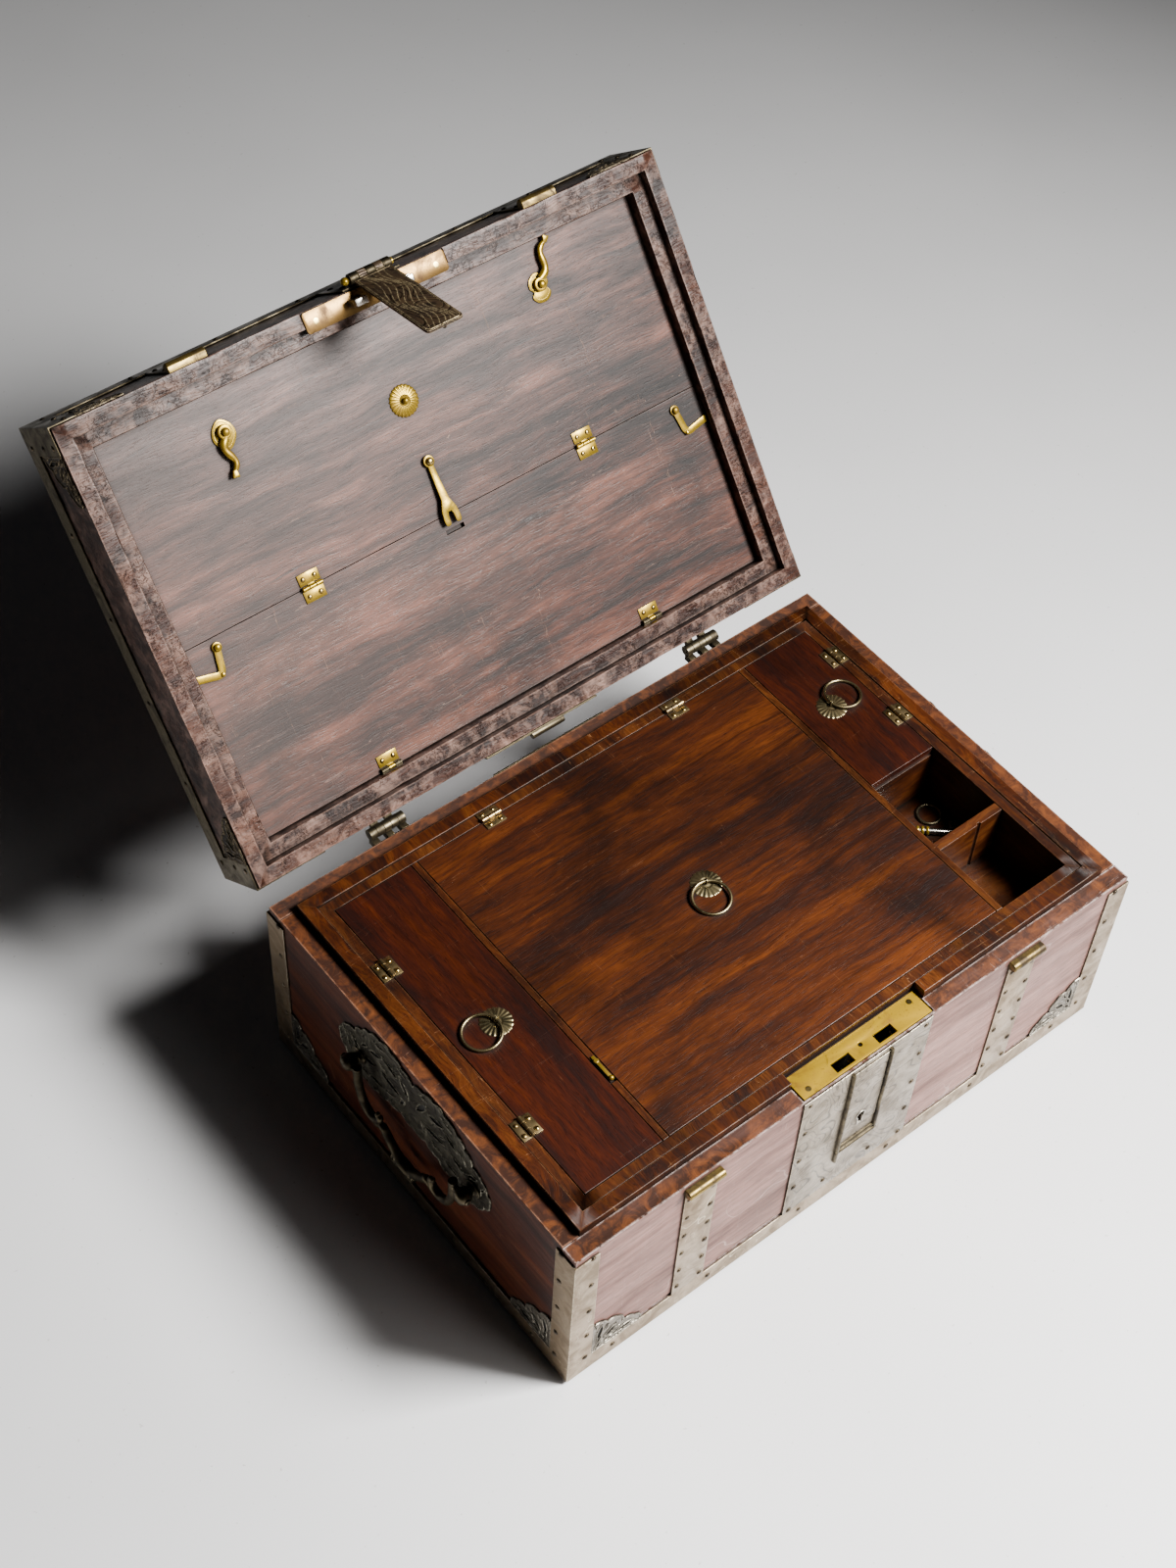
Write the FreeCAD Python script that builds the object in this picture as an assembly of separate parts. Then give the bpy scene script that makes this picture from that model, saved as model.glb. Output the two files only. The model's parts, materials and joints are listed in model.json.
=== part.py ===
import FreeCAD, Part

import math
import os

from FreeCAD import Matrix, Placement, Vector

# Millimetres. X runs left to right, Y front to back and Z up. The box is laid out from its
# front left corner, the lid is laid out shut, and both are moved to the row's origin last.

# Driving dimensions
WIDTH = 450.0
DEPTH = 308.0
FOOT = 3.0
RIM = FOOT + 151.0
LID_GAP = 0.4
LID_BOTTOM = RIM + LID_GAP
LID_TOP = RIM + 52.6
LID_OPEN = 127.4
HINGE_Y = DEPTH + 6.4
HINGE_Z = RIM + 3.1

# The carcase
BOARD = 12.5
LINING_IN = 22.0
FRAME_IN = 29.5
FLOOR_BOARD = 10.0
LIP_TOP = RIM + 6.0
TRAY_TOP = RIM + 5.0
TRAY_THICK = 6.5
TRAY_GAP = 0.3
GROOVE = 1.2
GROOVE_HEIGHT = 2.4
LEFT_DIVIDER = (87.8, 92.4)
RIGHT_DIVIDER = (360.0, 365.0)
WELL_BACK = (149.8, 154.5)
WELL_DIVIDER = (86.0, 93.0)
WELL_FLOOR_TOP = FOOT + 110.0
WELL_FLOOR_THICK = 6.0
RIGHT_LID_FRONT = 151.0
LEDGE = 5.0

# The brass on the outside
SHEET = 1.2
BAND_TOP = FOOT + 17.0
STRAP_X = (93.1, 356.9)
STRAP_WIDTH = 25.4
STRAP_TOP = RIM - 10.0
BAR_RADIUS = 3.4
BAR_LENGTH = 28.0
LEG = 17.0
EDGE_BAND = 14.0
BACK_PLATE_X = (176.0, 267.0)
FOOT_INSET = 10.5
FOOT_RADIUS = 9.2

# Nail heads
NAIL_RADIUS = 1.9
NAIL_HEIGHT = 1.0
LEG_NAIL_IN = 12.0
LEG_NAILS = [FOOT + z for z in (145, 113, 80, 48, 18.5)]
STRAP_NAIL_OUT = 9.2
STRAP_NAIL_STEP = 1.5
STRAP_NAILS = [FOOT + z for z in (133, 111, 89, 67, 45, 24)]

# The lock, with its plate on the front and the lid's lugs that drop into it
LOCK_X = (172.0, 277.0)
LOCK_CENTRE = 226.6
LOCK_POCKET_IN = 8.0
LOCK_FLOOR = 74.0
KEYHOLE_Z = FOOT + 84.0
KEYHOLE_EYE = 3.2
KEYHOLE_SLOT = 1.6
KEYWAY = 7.0
LUG_X = (204.8, 239.2)
LUG_LENGTH = 10.0
LUG_Y = (5.4, 10.0)
LUG_DROP = 11.0
LUG_NOTCH = (LID_BOTTOM - 8.4, LID_BOTTOM - 4.8)
STRIKE_X = (173.0, 279.5)
STRIKE_Y = (1.0, 14.6)
BOLT_Y = (6.3, 9.1)
BOLT_Z = (RIM - 15.0, RIM - 11.6)
BOLT_POST = 4.0
BOLT_TONGUE = 5.4

# The hasp
HASP_WIDTH = 27.0
HASP_LENGTH = 81.5
HASP_X = (211.4, 242.3)
HASP_Y = -5.6
HASP_Z = RIM + 1.0
HASP_LEAN = 28.0
HASP_BARREL = 3.6
HASP_PIN = 1.5
HASP_STUD = (1.5, 2.0, 2.2)

# The drop handles on the two ends
HANDLE_Y = (94.0, 211.0)
HANDLE_Z = FOOT + 104.0
HANDLE_OUT = 9.5
BAIL_RADIUS = 2.9
BAIL_PIN = 2.2

# The two hinges at the back
REAR_X = (94.2, 357.0)
REAR_LENGTH = 27.0
REAR_KNUCKLES = 5
REAR_BARREL = 4.0
REAR_PIN = 1.8

# The document panel in the lid
LID_RAIL = 10.8
LID_FRAME_IN = 21.0
LID_STEP = 6.5
LID_BOARD = 10.0
LEAF_FACE = LID_BOTTOM + 15.0
LEAF_THICK = 6.0
LEAF_GAP = 0.5
LEAF_FRONT = 22.3
FOLD_Y = 156.5
LEAF_HINGE_X = (116.5, 334.0)
PANEL_HINGE_X = (117.9, 334.5)

# Small hinges
BARREL = 1.5
PIN = 0.75
PIN_PLAY = 0.07
PLATE = 0.8
RISE = BARREL + 0.3
PANEL_AXIS_Y = DEPTH - LID_FRAME_IN - 1.9
AXIS_Z_PANEL = LEAF_FACE - RISE
AXIS_Z_TRAY = TRAY_TOP + RISE
TRAY_HINGE = 15.0
TRAY_LEAF = 7.0

# Ring pulls, spring catch and key
ROSETTE = 10.6
RING_AXIS = 3.1
RING_RADIUS = 12.4
RING_WIRE = 1.0
CATCH_X = 90.1
CATCH_ROOT_Y = 95.0
CATCH_BALL_Y = 80.6
KEY_BOW = (384.5, 132.5)
KEY_TIP = (405.5, 114.5)
KEY_BOW_RADIUS = 6.6
KEY_RING = (408.6, 132.8)

# The fastenings of the document panel
HOOKS = {
    "left": {"pivot": (102.2, 46.8), "reach": 28.5, "angle": 98.8},
    "right": {"pivot": (343.0, 49.5), "reach": 31.4, "angle": -59.9},
}
HOOK_PIN = 1.6
LATCHES = {
    "left": {"pivot": (43.0, 163.1), "elbow": (39.6, 180.0), "end": (21.3, 175.9)},
    "right": {"pivot": (407.1, 165.2), "elbow": (410.6, 182.8), "end": (428.7, 179.6)},
}
LATCH_PIN = 1.3
PANEL_ROSETTE = (222.9, 78.6)
FORK_PIVOT = (222.4, 119.8)
FORK_PIN = 1.4
FORK_START = 1.4
FORK_LENGTH = 43.2
FORK_UNDER = 3.0
FORK_THICK = 1.3
MORTISE_X = (216.4, 230.4)
MORTISE_Y = (165.7, 168.7)

# The row's origin stands under the middle of the open box's outline.
SHIFT_X = -WIDTH / 2

Z_AXIS = Vector(0, 0, 1)


def box(x0, x1, y0, y1, z0, z1):
    """A block between two opposite corners."""
    return Part.makeBox(x1 - x0, y1 - y0, z1 - z0, Vector(x0, y0, z0))


def flats(centre, axis, radius, sides):
    """A closed outline with equal sides round a centre, square to an axis."""
    axis = Vector(axis).normalize()
    across = Z_AXIS if abs(axis.z) < 0.9 else Vector(1, 0, 0)
    first = axis.cross(across).normalize()
    second = axis.cross(first)
    turns = [2 * math.pi * (i + 0.5) / sides for i in range(sides)]
    points = [centre + first * (radius * math.cos(t)) + second * (radius * math.sin(t)) for t in turns]
    return Part.makePolygon(points + points[:1])


def bar(start, end, radius, sides=10):
    """A bar with many narrow flats, for barrels, necks and collars."""
    start = Vector(*start)
    axis = Vector(*end) - start
    return Part.Face(flats(start, axis, radius, sides)).extrude(axis)


def pin(start, end, radius):
    """A pin whose corners lie on its radius."""
    return bar(start, end, radius, 8)


def bore(start, end, radius, sides=8):
    """The hole for a pin of that radius: its flats clear the pin's corners at every turn."""
    return bar(start, end, (radius + PIN_PLAY) / math.cos(math.pi / sides), sides)


def stack(rings, centre=(0, 0, 0), axis=(0, 0, 1), sides=8):
    """A turned form with narrow flats through (radius, height) rings along an axis."""
    axis = Vector(*axis).normalize()
    wires = [flats(Vector(*centre) + axis * height, axis, radius, sides) for radius, height in rings]
    return Part.makeLoft(wires, True, True)


def mitred_bar(path, normal, radius, sides=6, closed=False):
    """A bar with narrow flats along a flat path of straight runs, mitred at every bend."""
    count = len(path)
    runs = [(path[(i + 1) % count] - path[i]).normalize() for i in range(count)]
    sections = []
    for i in range(count):
        before = runs[i - 1] if closed or i > 0 else runs[0]
        after = runs[i] if closed or i < count - 1 else runs[-2]
        across = (before + after).normalize().cross(normal)
        stretch = 1 / math.cos(before.getAngle(after) / 2)
        turns = [2 * math.pi * (k + 0.5) / sides for k in range(sides)]
        sections.append([
            path[i] + normal * (radius * math.cos(t)) + across * (radius * math.sin(t) * stretch)
            for t in turns
        ])
    faces = []
    for i in range(count if closed else count - 1):
        here, there = sections[i], sections[(i + 1) % count]
        for k in range(sides):
            n = (k + 1) % sides
            faces.append(Part.Face(Part.makePolygon([here[k], here[n], there[n], there[k], here[k]])))
    if not closed:
        faces += [Part.Face(Part.makePolygon(ends + ends[:1])) for ends in (sections[0], sections[-1])]
    solid = Part.makeSolid(Part.makeShell(faces))
    if solid.Volume < 0:
        solid.reverse()
    return solid


def torus(radius, wire, sides=6, flats_round=16):
    """A flat-lying ring whose wire has narrow flats."""
    turns = [2 * math.pi * i / flats_round for i in range(flats_round)]
    path = [Vector(radius * math.cos(t), radius * math.sin(t), 0) for t in turns]
    return mitred_bar(path, Z_AXIS, wire, sides, closed=True)


def prism(points, z0, z1):
    """A flat outline raised from z0 to z1."""
    corners = [Vector(x, y, z0) for x, y in points]
    wire = Part.makePolygon(corners + corners[:1])
    return Part.Face(wire).extrude(Vector(0, 0, z1 - z0))


def fused(shapes):
    """One clean solid from overlapping shapes."""
    shapes = list(shapes)
    return shapes[0].fuse(shapes[1:]).removeSplitter() if len(shapes) > 1 else shapes[0]


def pierced(plate, holes):
    """A plate with its holes cut through."""
    holes = list(holes)
    return plate.cut(holes) if holes else plate


def mitred_frame(outer, inner, z0, z1):
    """Four mitred strips between two insets from the box's outline: front, right, back, left."""
    def corners(inset):
        right, back = WIDTH - inset, DEPTH - inset
        return [(inset, inset), (right, inset), (right, back), (inset, back)]

    outside, inside = corners(outer), corners(inner)
    strips = []
    for first in range(4):
        second = (first + 1) % 4
        outline = [outside[first], outside[second], inside[second], inside[first]]
        strips.append(prism(outline, z0, z1))
    return strips


# Each side has its own flat frame: u to the right as seen from outside, v up and w outward.
SIDES = {
    "front": (Vector(1, 0, 0), Vector(0, -1, 0), Vector(0, 0, 0), WIDTH),
    "right": (Vector(0, 1, 0), Vector(1, 0, 0), Vector(WIDTH, 0, 0), DEPTH),
    "back": (Vector(-1, 0, 0), Vector(0, 1, 0), Vector(WIDTH, DEPTH, 0), WIDTH),
    "left": (Vector(0, -1, 0), Vector(-1, 0, 0), Vector(0, DEPTH, 0), DEPTH),
}


def framed(shape, u, v, w, origin):
    """A shape drawn in a flat frame, moved to where that frame stands."""
    matrix = Matrix(
        u.x, v.x, w.x, origin.x,
        u.y, v.y, w.y, origin.y,
        u.z, v.z, w.z, origin.z,
        0, 0, 0, 1,
    )
    moved = shape.copy()
    moved.Placement = Placement(matrix).multiply(moved.Placement)
    return moved


def on_side(shape, side):
    """A shape drawn flat, moved onto one side of the box."""
    u, w, origin, _ = SIDES[side]
    return framed(shape, u, Z_AXIS, w, origin)


def under_lid(shape, x=0.0, y=0.0, turn=0.0):
    """A fitting drawn on a table top, turned about its own centre and hung under the leaves."""
    placed = shape.mirror(Vector(0, 0, 0), Z_AXIS)
    placed.rotate(Vector(0, 0, 0), Z_AXIS, turn)
    placed.translate(Vector(x, y, LEAF_FACE))
    return placed


def lobed(points, bulge, steps=2):
    """The outline with every side swelled outward as an arc of a few chords, taken anticlockwise."""
    outline = []
    for i in range(len(points)):
        (x0, y0), (x1, y1) = points[i], points[(i + 1) % len(points)]
        for k in range(steps):
            s = k / steps
            swell = bulge * 4 * s * (1 - s)
            outline.append((x0 + (x1 - x0) * s + (y1 - y0) * swell, y0 + (y1 - y0) * s - (x1 - x0) * swell))
    return outline


def scalloped(points, bulge, z0, z1, steps=2):
    """A plate whose edge is a chain of lobes between the points."""
    return prism(lobed(points, bulge, steps), z0, z1)


def leaf_hole(x, y, length, width, turn, z0, z1):
    """A pointed hole with two bent sides, as in pierced foliage."""
    half = length / 2
    c, s = math.cos(math.radians(turn)), math.sin(math.radians(turn))
    ends = [(x - c * half, y - s * half), (x + c * half, y + s * half)]
    return prism(lobed(ends, width / length / 2), z0, z1)


def flower(radius, lobes, thick):
    """A fluted rosette: a lobed disc with a raised boss."""
    step = 2 * math.pi / lobes
    ring = [(radius * math.cos(i * step), radius * math.sin(i * step)) for i in range(lobes)]
    disc = scalloped(ring, 0.16, 0, thick * 0.6)
    dish = stack([(radius * 0.9, thick * 0.6), (radius * 0.45, thick)], sides=lobes)
    return fused([disc, dish])


def ball_head(radius, z):
    """A round screw head that sits on a plate at height z."""
    return stack([(radius, z), (radius * 0.85, z + radius * 0.5), (radius * 0.3, z + radius * 0.95)])


def nail(u, v, w):
    """A nail head hammered to four faces, standing on height w."""
    foot = flats(Vector(u, v, w), Z_AXIS, NAIL_RADIUS, 4)
    return Part.makeLoft([foot, Part.Vertex(Vector(u, v, w + NAIL_HEIGHT))], True, True)


def rounded(points, chords=3):
    """The path with each corner replaced by a few chords of an arc about as wide as its runs allow."""
    path = [points[0]]
    for i in range(1, len(points) - 1):
        corner = points[i]
        back = (points[i - 1] - corner)
        ahead = (points[i + 1] - corner)
        run = 0.42 * min(back.Length, ahead.Length)
        back.normalize()
        ahead.normalize()
        half = back.getAngle(ahead) / 2
        radius = run * math.tan(half)
        bisector = (back + ahead).normalize()
        centre = corner + bisector * (run / math.cos(half))
        first = corner + back * run - centre
        axis = first.cross(corner + ahead * run - centre).normalize()
        sweep = math.pi - 2 * half
        for k in range(chords + 1):
            t = sweep * k / chords
            path.append(centre + first * math.cos(t) + axis.cross(first) * math.sin(t))
    return path + [points[-1]]


def hinge_leaf(length, width, side, owned, knuckles=3, barrel=BARREL, pinned=False, upright=0.0):
    """One leaf of a small hinge about local X, with the barrel's axis at the origin.

    The surface lies RISE below the axis. side is +1 or -1 along Y, and owned picks the even or
    odd knuckles. An upright leaf turns its plate down the wall behind it, by that depth.
    """
    rise = barrel + 0.3
    inner = barrel + 0.3
    pitch = length / knuckles
    play = 0.12
    parts = []
    if upright:
        parts.append(box(-length / 2, length / 2, inner, inner + PLATE, -upright, 0))
    else:
        parts.append(box(-length / 2, length / 2, inner, width, -rise, -rise + PLATE))
    for k in range(owned, knuckles, 2):
        x0 = -length / 2 + k * pitch + play
        x1 = -length / 2 + (k + 1) * pitch - play
        parts.append(bar((x0, 0, 0), (x1, 0, 0), barrel, 8))
        if upright:
            parts.append(box(x0, x1, 0, inner + 0.2, -0.6, 0.6))
        else:
            parts.append(box(x0, x1, 0, inner + 0.2, -rise, -rise + PLATE))
    leaf = fused(parts)
    end = length / 2 - play
    if pinned:
        leaf = fused([leaf, pin((-end, 0, 0), (end, 0, 0), PIN)])
    else:
        leaf = leaf.cut(bore((-length, 0, 0), (length, 0, 0), PIN))
    if side < 0:
        leaf = leaf.mirror(Vector(0, 0, 0), Vector(0, 1, 0))
    return leaf


def front_board():
    """The front of the carcase, with the pocket that the lock sits in."""
    board = box(0, WIDTH, 0, BOARD, FOOT, RIM)
    pocket_x = (LOCK_X[0] + LOCK_POCKET_IN, LOCK_X[1] - LOCK_POCKET_IN)
    board = board.cut(box(*pocket_x, 4, BOARD + 1, LOCK_FLOOR, RIM + 1))
    board = board.cut(box(LOCK_X[0] + 1, LOCK_X[1] + 2.5, 1.6, BOARD + 1, RIM - 2, RIM + 1))
    keyway = bar((LOCK_CENTRE, -1, KEYHOLE_Z), (LOCK_CENTRE, 5, KEYHOLE_Z), KEYWAY)
    groove = box(0, WIDTH, -1, GROOVE, BAND_TOP, BAND_TOP + GROOVE_HEIGHT)
    return board.cut([keyway, groove])


def back_board():
    """The back of the carcase."""
    board = box(0, WIDTH, DEPTH - BOARD, DEPTH, FOOT, RIM)
    return board.cut(box(0, WIDTH, DEPTH - GROOVE, DEPTH + 1, BAND_TOP, BAND_TOP + GROOVE_HEIGHT))


def side_boards():
    """The two ends of the carcase, held between the front and the back."""
    left = box(0, BOARD, BOARD, DEPTH - BOARD, FOOT, RIM)
    left = left.cut(box(-1, GROOVE, 0, DEPTH, BAND_TOP, BAND_TOP + GROOVE_HEIGHT))
    right = left.mirror(Vector(WIDTH / 2, 0, 0), Vector(1, 0, 0))
    return [left, right]


def bottom_board():
    """The bottom, set in between the four walls."""
    return box(BOARD, WIDTH - BOARD, BOARD, DEPTH - BOARD, FOOT, FOOT + FLOOR_BOARD)


def rim_lip():
    """The lining that stands up inside the rim and centres the shut lid."""
    strips = mitred_frame(BOARD, LINING_IN, FOOT + FLOOR_BOARD, LIP_TOP)
    strips[0] = strips[0].cut(box(LOCK_X[0] + 1, LOCK_X[1] + 4, 0, LINING_IN + 1, RIM - 2, LIP_TOP + 1))
    pocket_x = (LOCK_X[0] + LOCK_POCKET_IN, LOCK_X[1] - LOCK_POCKET_IN)
    strips[0] = strips[0].cut(box(*pocket_x, 0, 20, LOCK_FLOOR, RIM))
    return strips


def inner_frame():
    """The inner lining, whose top edge frames the tray lids."""
    return mitred_frame(LINING_IN, FRAME_IN, FOOT + FLOOR_BOARD, TRAY_TOP)


def dividers():
    """The two upright boards that part the three compartments."""
    back = DEPTH - FRAME_IN
    bottom = FOOT + FLOOR_BOARD
    left = box(*LEFT_DIVIDER, FRAME_IN, back, bottom, TRAY_TOP)
    notch = box(LEFT_DIVIDER[0] - 1, LEFT_DIVIDER[0] + 1.2, 80, 98, TRAY_TOP - 4, TRAY_TOP + 1)
    seat = box(LEFT_DIVIDER[0] - 1, LEFT_DIVIDER[1] + 1, 78, 82.6, TRAY_TOP - 2.6, TRAY_TOP + 1)
    right = box(*RIGHT_DIVIDER, FRAME_IN, back, bottom, TRAY_TOP)
    return [left.cut([notch, seat]), right]


def well_box():
    """The two open wells at the front right: their floor, the wall behind and the one between."""
    x0, x1 = RIGHT_DIVIDER[1], WIDTH - FRAME_IN
    under = WELL_FLOOR_TOP - WELL_FLOOR_THICK
    lid_seat = TRAY_TOP - TRAY_THICK
    floor = box(x0, x1, FRAME_IN, WELL_BACK[1], under, WELL_FLOOR_TOP)
    back = box(x0, x1, *WELL_BACK, WELL_FLOOR_TOP, lid_seat)
    middle = box(x0, x1, *WELL_DIVIDER, WELL_FLOOR_TOP, TRAY_TOP - 0.6)
    groove = bar((400, WELL_DIVIDER[0], WELL_FLOOR_TOP), (400, WELL_DIVIDER[0], TRAY_TOP), 1.6)
    return [floor, back, middle.cut(groove)]


def tray_ledges():
    """The battens that the tray lids rest on."""
    top = TRAY_TOP - TRAY_THICK
    z = (top - LEDGE, top)
    back = DEPTH - FRAME_IN
    spans = [(FRAME_IN, LEFT_DIVIDER[0]), (LEFT_DIVIDER[1], RIGHT_DIVIDER[0])]
    strips = []
    for x0, x1 in spans:
        strips.append(box(x0, x1, FRAME_IN, FRAME_IN + LEDGE, *z))
        strips.append(box(x0, x1, back - LEDGE, back, *z))
    strips.append(box(RIGHT_DIVIDER[1], WIDTH - FRAME_IN, back - LEDGE, back, *z))
    return strips


def base_band():
    """The brass band round the foot of the box."""
    outer = box(-SHEET, WIDTH + SHEET, -SHEET, DEPTH + SHEET, FOOT, BAND_TOP)
    return outer.cut(box(0, WIDTH, 0, DEPTH, 0, RIM))


def angle_strap(z0, z1):
    """A brass angle round the left front corner."""
    t = SHEET
    outline = [(-t, -t), (LEG, -t), (LEG, 0), (0, 0), (0, LEG), (-t, LEG)]
    return prism(outline, z0, z1)


def at_corners(shape):
    """The same angle on all four upright corners."""
    middle = Vector(WIDTH / 2, DEPTH / 2, 0)
    right = shape.mirror(middle, Vector(1, 0, 0))
    pair = [shape, right]
    return pair + [s.mirror(middle, Vector(0, 1, 0)) for s in pair]


def front_straps():
    """Two upright straps on the front, each ending under the rim in a half-round bar."""
    straps = []
    for x in STRAP_X:
        half = STRAP_WIDTH / 2
        sheet = box(x - half, x + half, -SHEET, 0, BAND_TOP, STRAP_TOP + 3)
        z = STRAP_TOP + BAR_RADIUS
        y = -BAR_RADIUS + 0.6
        moulding = bar((x - half - 0.4, y, z), (x + half + 2, y, z), BAR_RADIUS)
        straps.append(fused([sheet, moulding.cut(box(0, WIDTH, 0, 10, 0, RIM))]))
    return straps


def corner_mount(reach, height):
    """A pierced foliate corner, its square corner at the origin."""
    t = SHEET
    outline = [
        (0, 0), (reach, 0), (reach * 0.86, height * 0.3), (reach * 0.62, height * 0.42),
        (reach * 0.52, height * 0.7), (reach * 0.28, height * 0.8), (0, height),
    ]
    curved = lobed(outline, 0.2)
    plate = prism([(max(x, 0), max(y, 0)) for x, y in curved], 0, t)
    holes = [
        leaf_hole(reach * 0.62, height * 0.18, reach * 0.42, height * 0.14, 4, -1, t + 1),
        leaf_hole(reach * 0.36, height * 0.38, reach * 0.34, height * 0.14, 38, -1, t + 1),
        leaf_hole(reach * 0.15, height * 0.6, height * 0.44, reach * 0.13, 80, -1, t + 1),
    ]
    return pierced(plate, holes)


def side_mounts(u0, v0, reach, height, sides, upside=False):
    """Corner mounts in the two lower or upper corners of the given sides."""
    plain = corner_mount(reach, height)
    if upside:
        plain = plain.mirror(Vector(0, 0, 0), Vector(0, 1, 0))
    turned = plain.mirror(Vector(0, 0, 0), Vector(1, 0, 0))
    mounts = []
    for side in sides:
        span = SIDES[side][3]
        for shape, u in ((plain, u0), (turned, span - u0)):
            placed = shape.copy()
            placed.translate(Vector(u, v0, 0))
            mounts.append(on_side(placed, side))
    return mounts


def keyhole(w0, w1, scale=1.0):
    """The keyhole's outline as a cutter in the front's flat frame."""
    eye_v = KEYHOLE_Z + 3
    eye = bar((LOCK_CENTRE, eye_v, w0), (LOCK_CENTRE, eye_v, w1), KEYHOLE_EYE * scale, 12)
    slot = box(LOCK_CENTRE - KEYHOLE_SLOT, LOCK_CENTRE + KEYHOLE_SLOT, KEYHOLE_Z - 6, eye_v, w0, w1)
    return fused([eye, slot])


def lock_plate():
    """The large plate on the front, from the band to the rim."""
    plate = box(*LOCK_X, BAND_TOP, RIM - 0.4, 0, SHEET)
    plate = plate.cut(keyhole(-1, 3, 1.2))
    return on_side(plate, "front")


def lock_moulding():
    """The U-shaped moulding that the shut hasp drops into."""
    inner = HASP_WIDTH / 2 + 0.9
    outer = inner + 2.6
    base = SHEET
    top = RIM - 3
    left = box(LOCK_CENTRE - outer, LOCK_CENTRE - inner, FOOT + 46, top, base, base + 2.6)
    toe_u = LOCK_CENTRE - (outer + inner) / 2
    toe = bar((toe_u, FOOT + 46, base), (toe_u, FOOT + 46, base + 2.6), 1.3, 8)
    right = box(LOCK_CENTRE + inner, LOCK_CENTRE + outer, FOOT + 58, top, base, base + 2.6)
    lower = box(LOCK_CENTRE - outer, LOCK_CENTRE + outer, FOOT + 56, FOOT + 59, base, base + 2.6)
    step = box(LOCK_CENTRE - inner, LOCK_CENTRE + inner, FOOT + 59, FOOT + 62, base, base + 1.4)
    return on_side(fused([left, toe, right, lower, step]), "front")


def keyhole_plate():
    """The thin inner plate between the mouldings, with the keyhole."""
    half = HASP_WIDTH / 2 + 0.5
    plate = box(LOCK_CENTRE - half, LOCK_CENTRE + half, FOOT + 75, RIM - 5, SHEET, SHEET + 0.8)
    return on_side(plate.cut(keyhole(0, 4)), "front")


def lock_top_plate():
    """The brass plate let into the rim over the lock, with a slot for each lug of the lid."""
    plate = box(LOCK_X[0] + 2, LOCK_X[1] + 1.5, 2, 20, RIM - 2, RIM)
    slots = [box(x - 2.3, x + LUG_LENGTH + 2.3, 4.2, 11.2, RIM - 3, RIM + 1) for x in LUG_X]
    hole = bar((LOCK_CENTRE + 0.2, 10.8, RIM - 3), (LOCK_CENTRE + 0.2, 10.8, RIM + 1), 1.5)
    return plate.cut(slots + [hole])


def lock_case():
    """The open-topped iron case of the lock, with the sill that its bolt slides on."""
    x0, x1 = LOCK_X[0] + 9, LOCK_X[1] - 9
    case = box(x0, x1, 4.2, 19.6, 76, RIM - 2)
    case = case.cut(box(x0 + 1.6, x1 - 1.6, 5, 18, 78, RIM + 1))
    sill = box(x0 + 1, x1 - 1, 4.6, 10.6, BOLT_Z[0] - 2.1, BOLT_Z[0] - 0.1)
    keyway = bar((LOCK_CENTRE, 3, KEYHOLE_Z), (LOCK_CENTRE, 8, KEYHOLE_Z), KEYWAY)
    return fused([case, sill]).cut(keyway)


def lock_bolt():
    """The double bolt, whose two tongues slide into the lugs' notches."""
    x0 = LUG_X[0] + 1
    x1 = LUG_X[1] + LUG_LENGTH + 13
    parts = [box(x0, x1, *BOLT_Y, *BOLT_Z)]
    for lug in LUG_X:
        post = lug + LUG_LENGTH + 6
        parts.append(box(post, post + BOLT_POST, *BOLT_Y, BOLT_Z[0], RIM - 4.8))
        parts.append(box(post - BOLT_TONGUE, post + 1, *BOLT_Y, RIM - 7.6, RIM - 4.8))
    return fused(parts)


def feet():
    """Four flat round feet under the corners."""
    rings = [(FOOT_RADIUS - 1, 0), (FOOT_RADIUS, FOOT)]
    spots = [(x, y) for x in (FOOT_INSET, WIDTH - FOOT_INSET) for y in (FOOT_INSET, DEPTH - FOOT_INSET)]
    return [stack(rings, (x, y, 0), sides=12) for x, y in spots]


def body_nails():
    """The nail heads on the straps, angles, bands and lock plate of the box."""
    nails = []

    def place(side, u, v):
        nails.append(on_side(nail(u, v, SHEET), side))

    for side, (_, _, _, span) in SIDES.items():
        for u in (LEG_NAIL_IN, span - LEG_NAIL_IN):
            for v in LEG_NAILS:
                place(side, u, v)
        count = 6 if span == WIDTH else 4
        for i in range(count):
            place(side, 34 + (span - 68) * i / (count - 1), FOOT + 9)
    for side in ("front", "back"):
        for x in STRAP_X:
            u = x if side == "front" else WIDTH - x
            for v in STRAP_NAILS:
                place(side, u - STRAP_NAIL_OUT, v + STRAP_NAIL_STEP)
                place(side, u + STRAP_NAIL_OUT, v - STRAP_NAIL_STEP)
    for v in LEG_NAILS:
        place("front", LOCK_X[0] + 5, v)
        place("front", LOCK_X[1] - 5, v)
    for u in (LOCK_X[0] + 33, LOCK_X[1] - 33):
        place("front", u, BAND_TOP + 10)
    return nails


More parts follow.
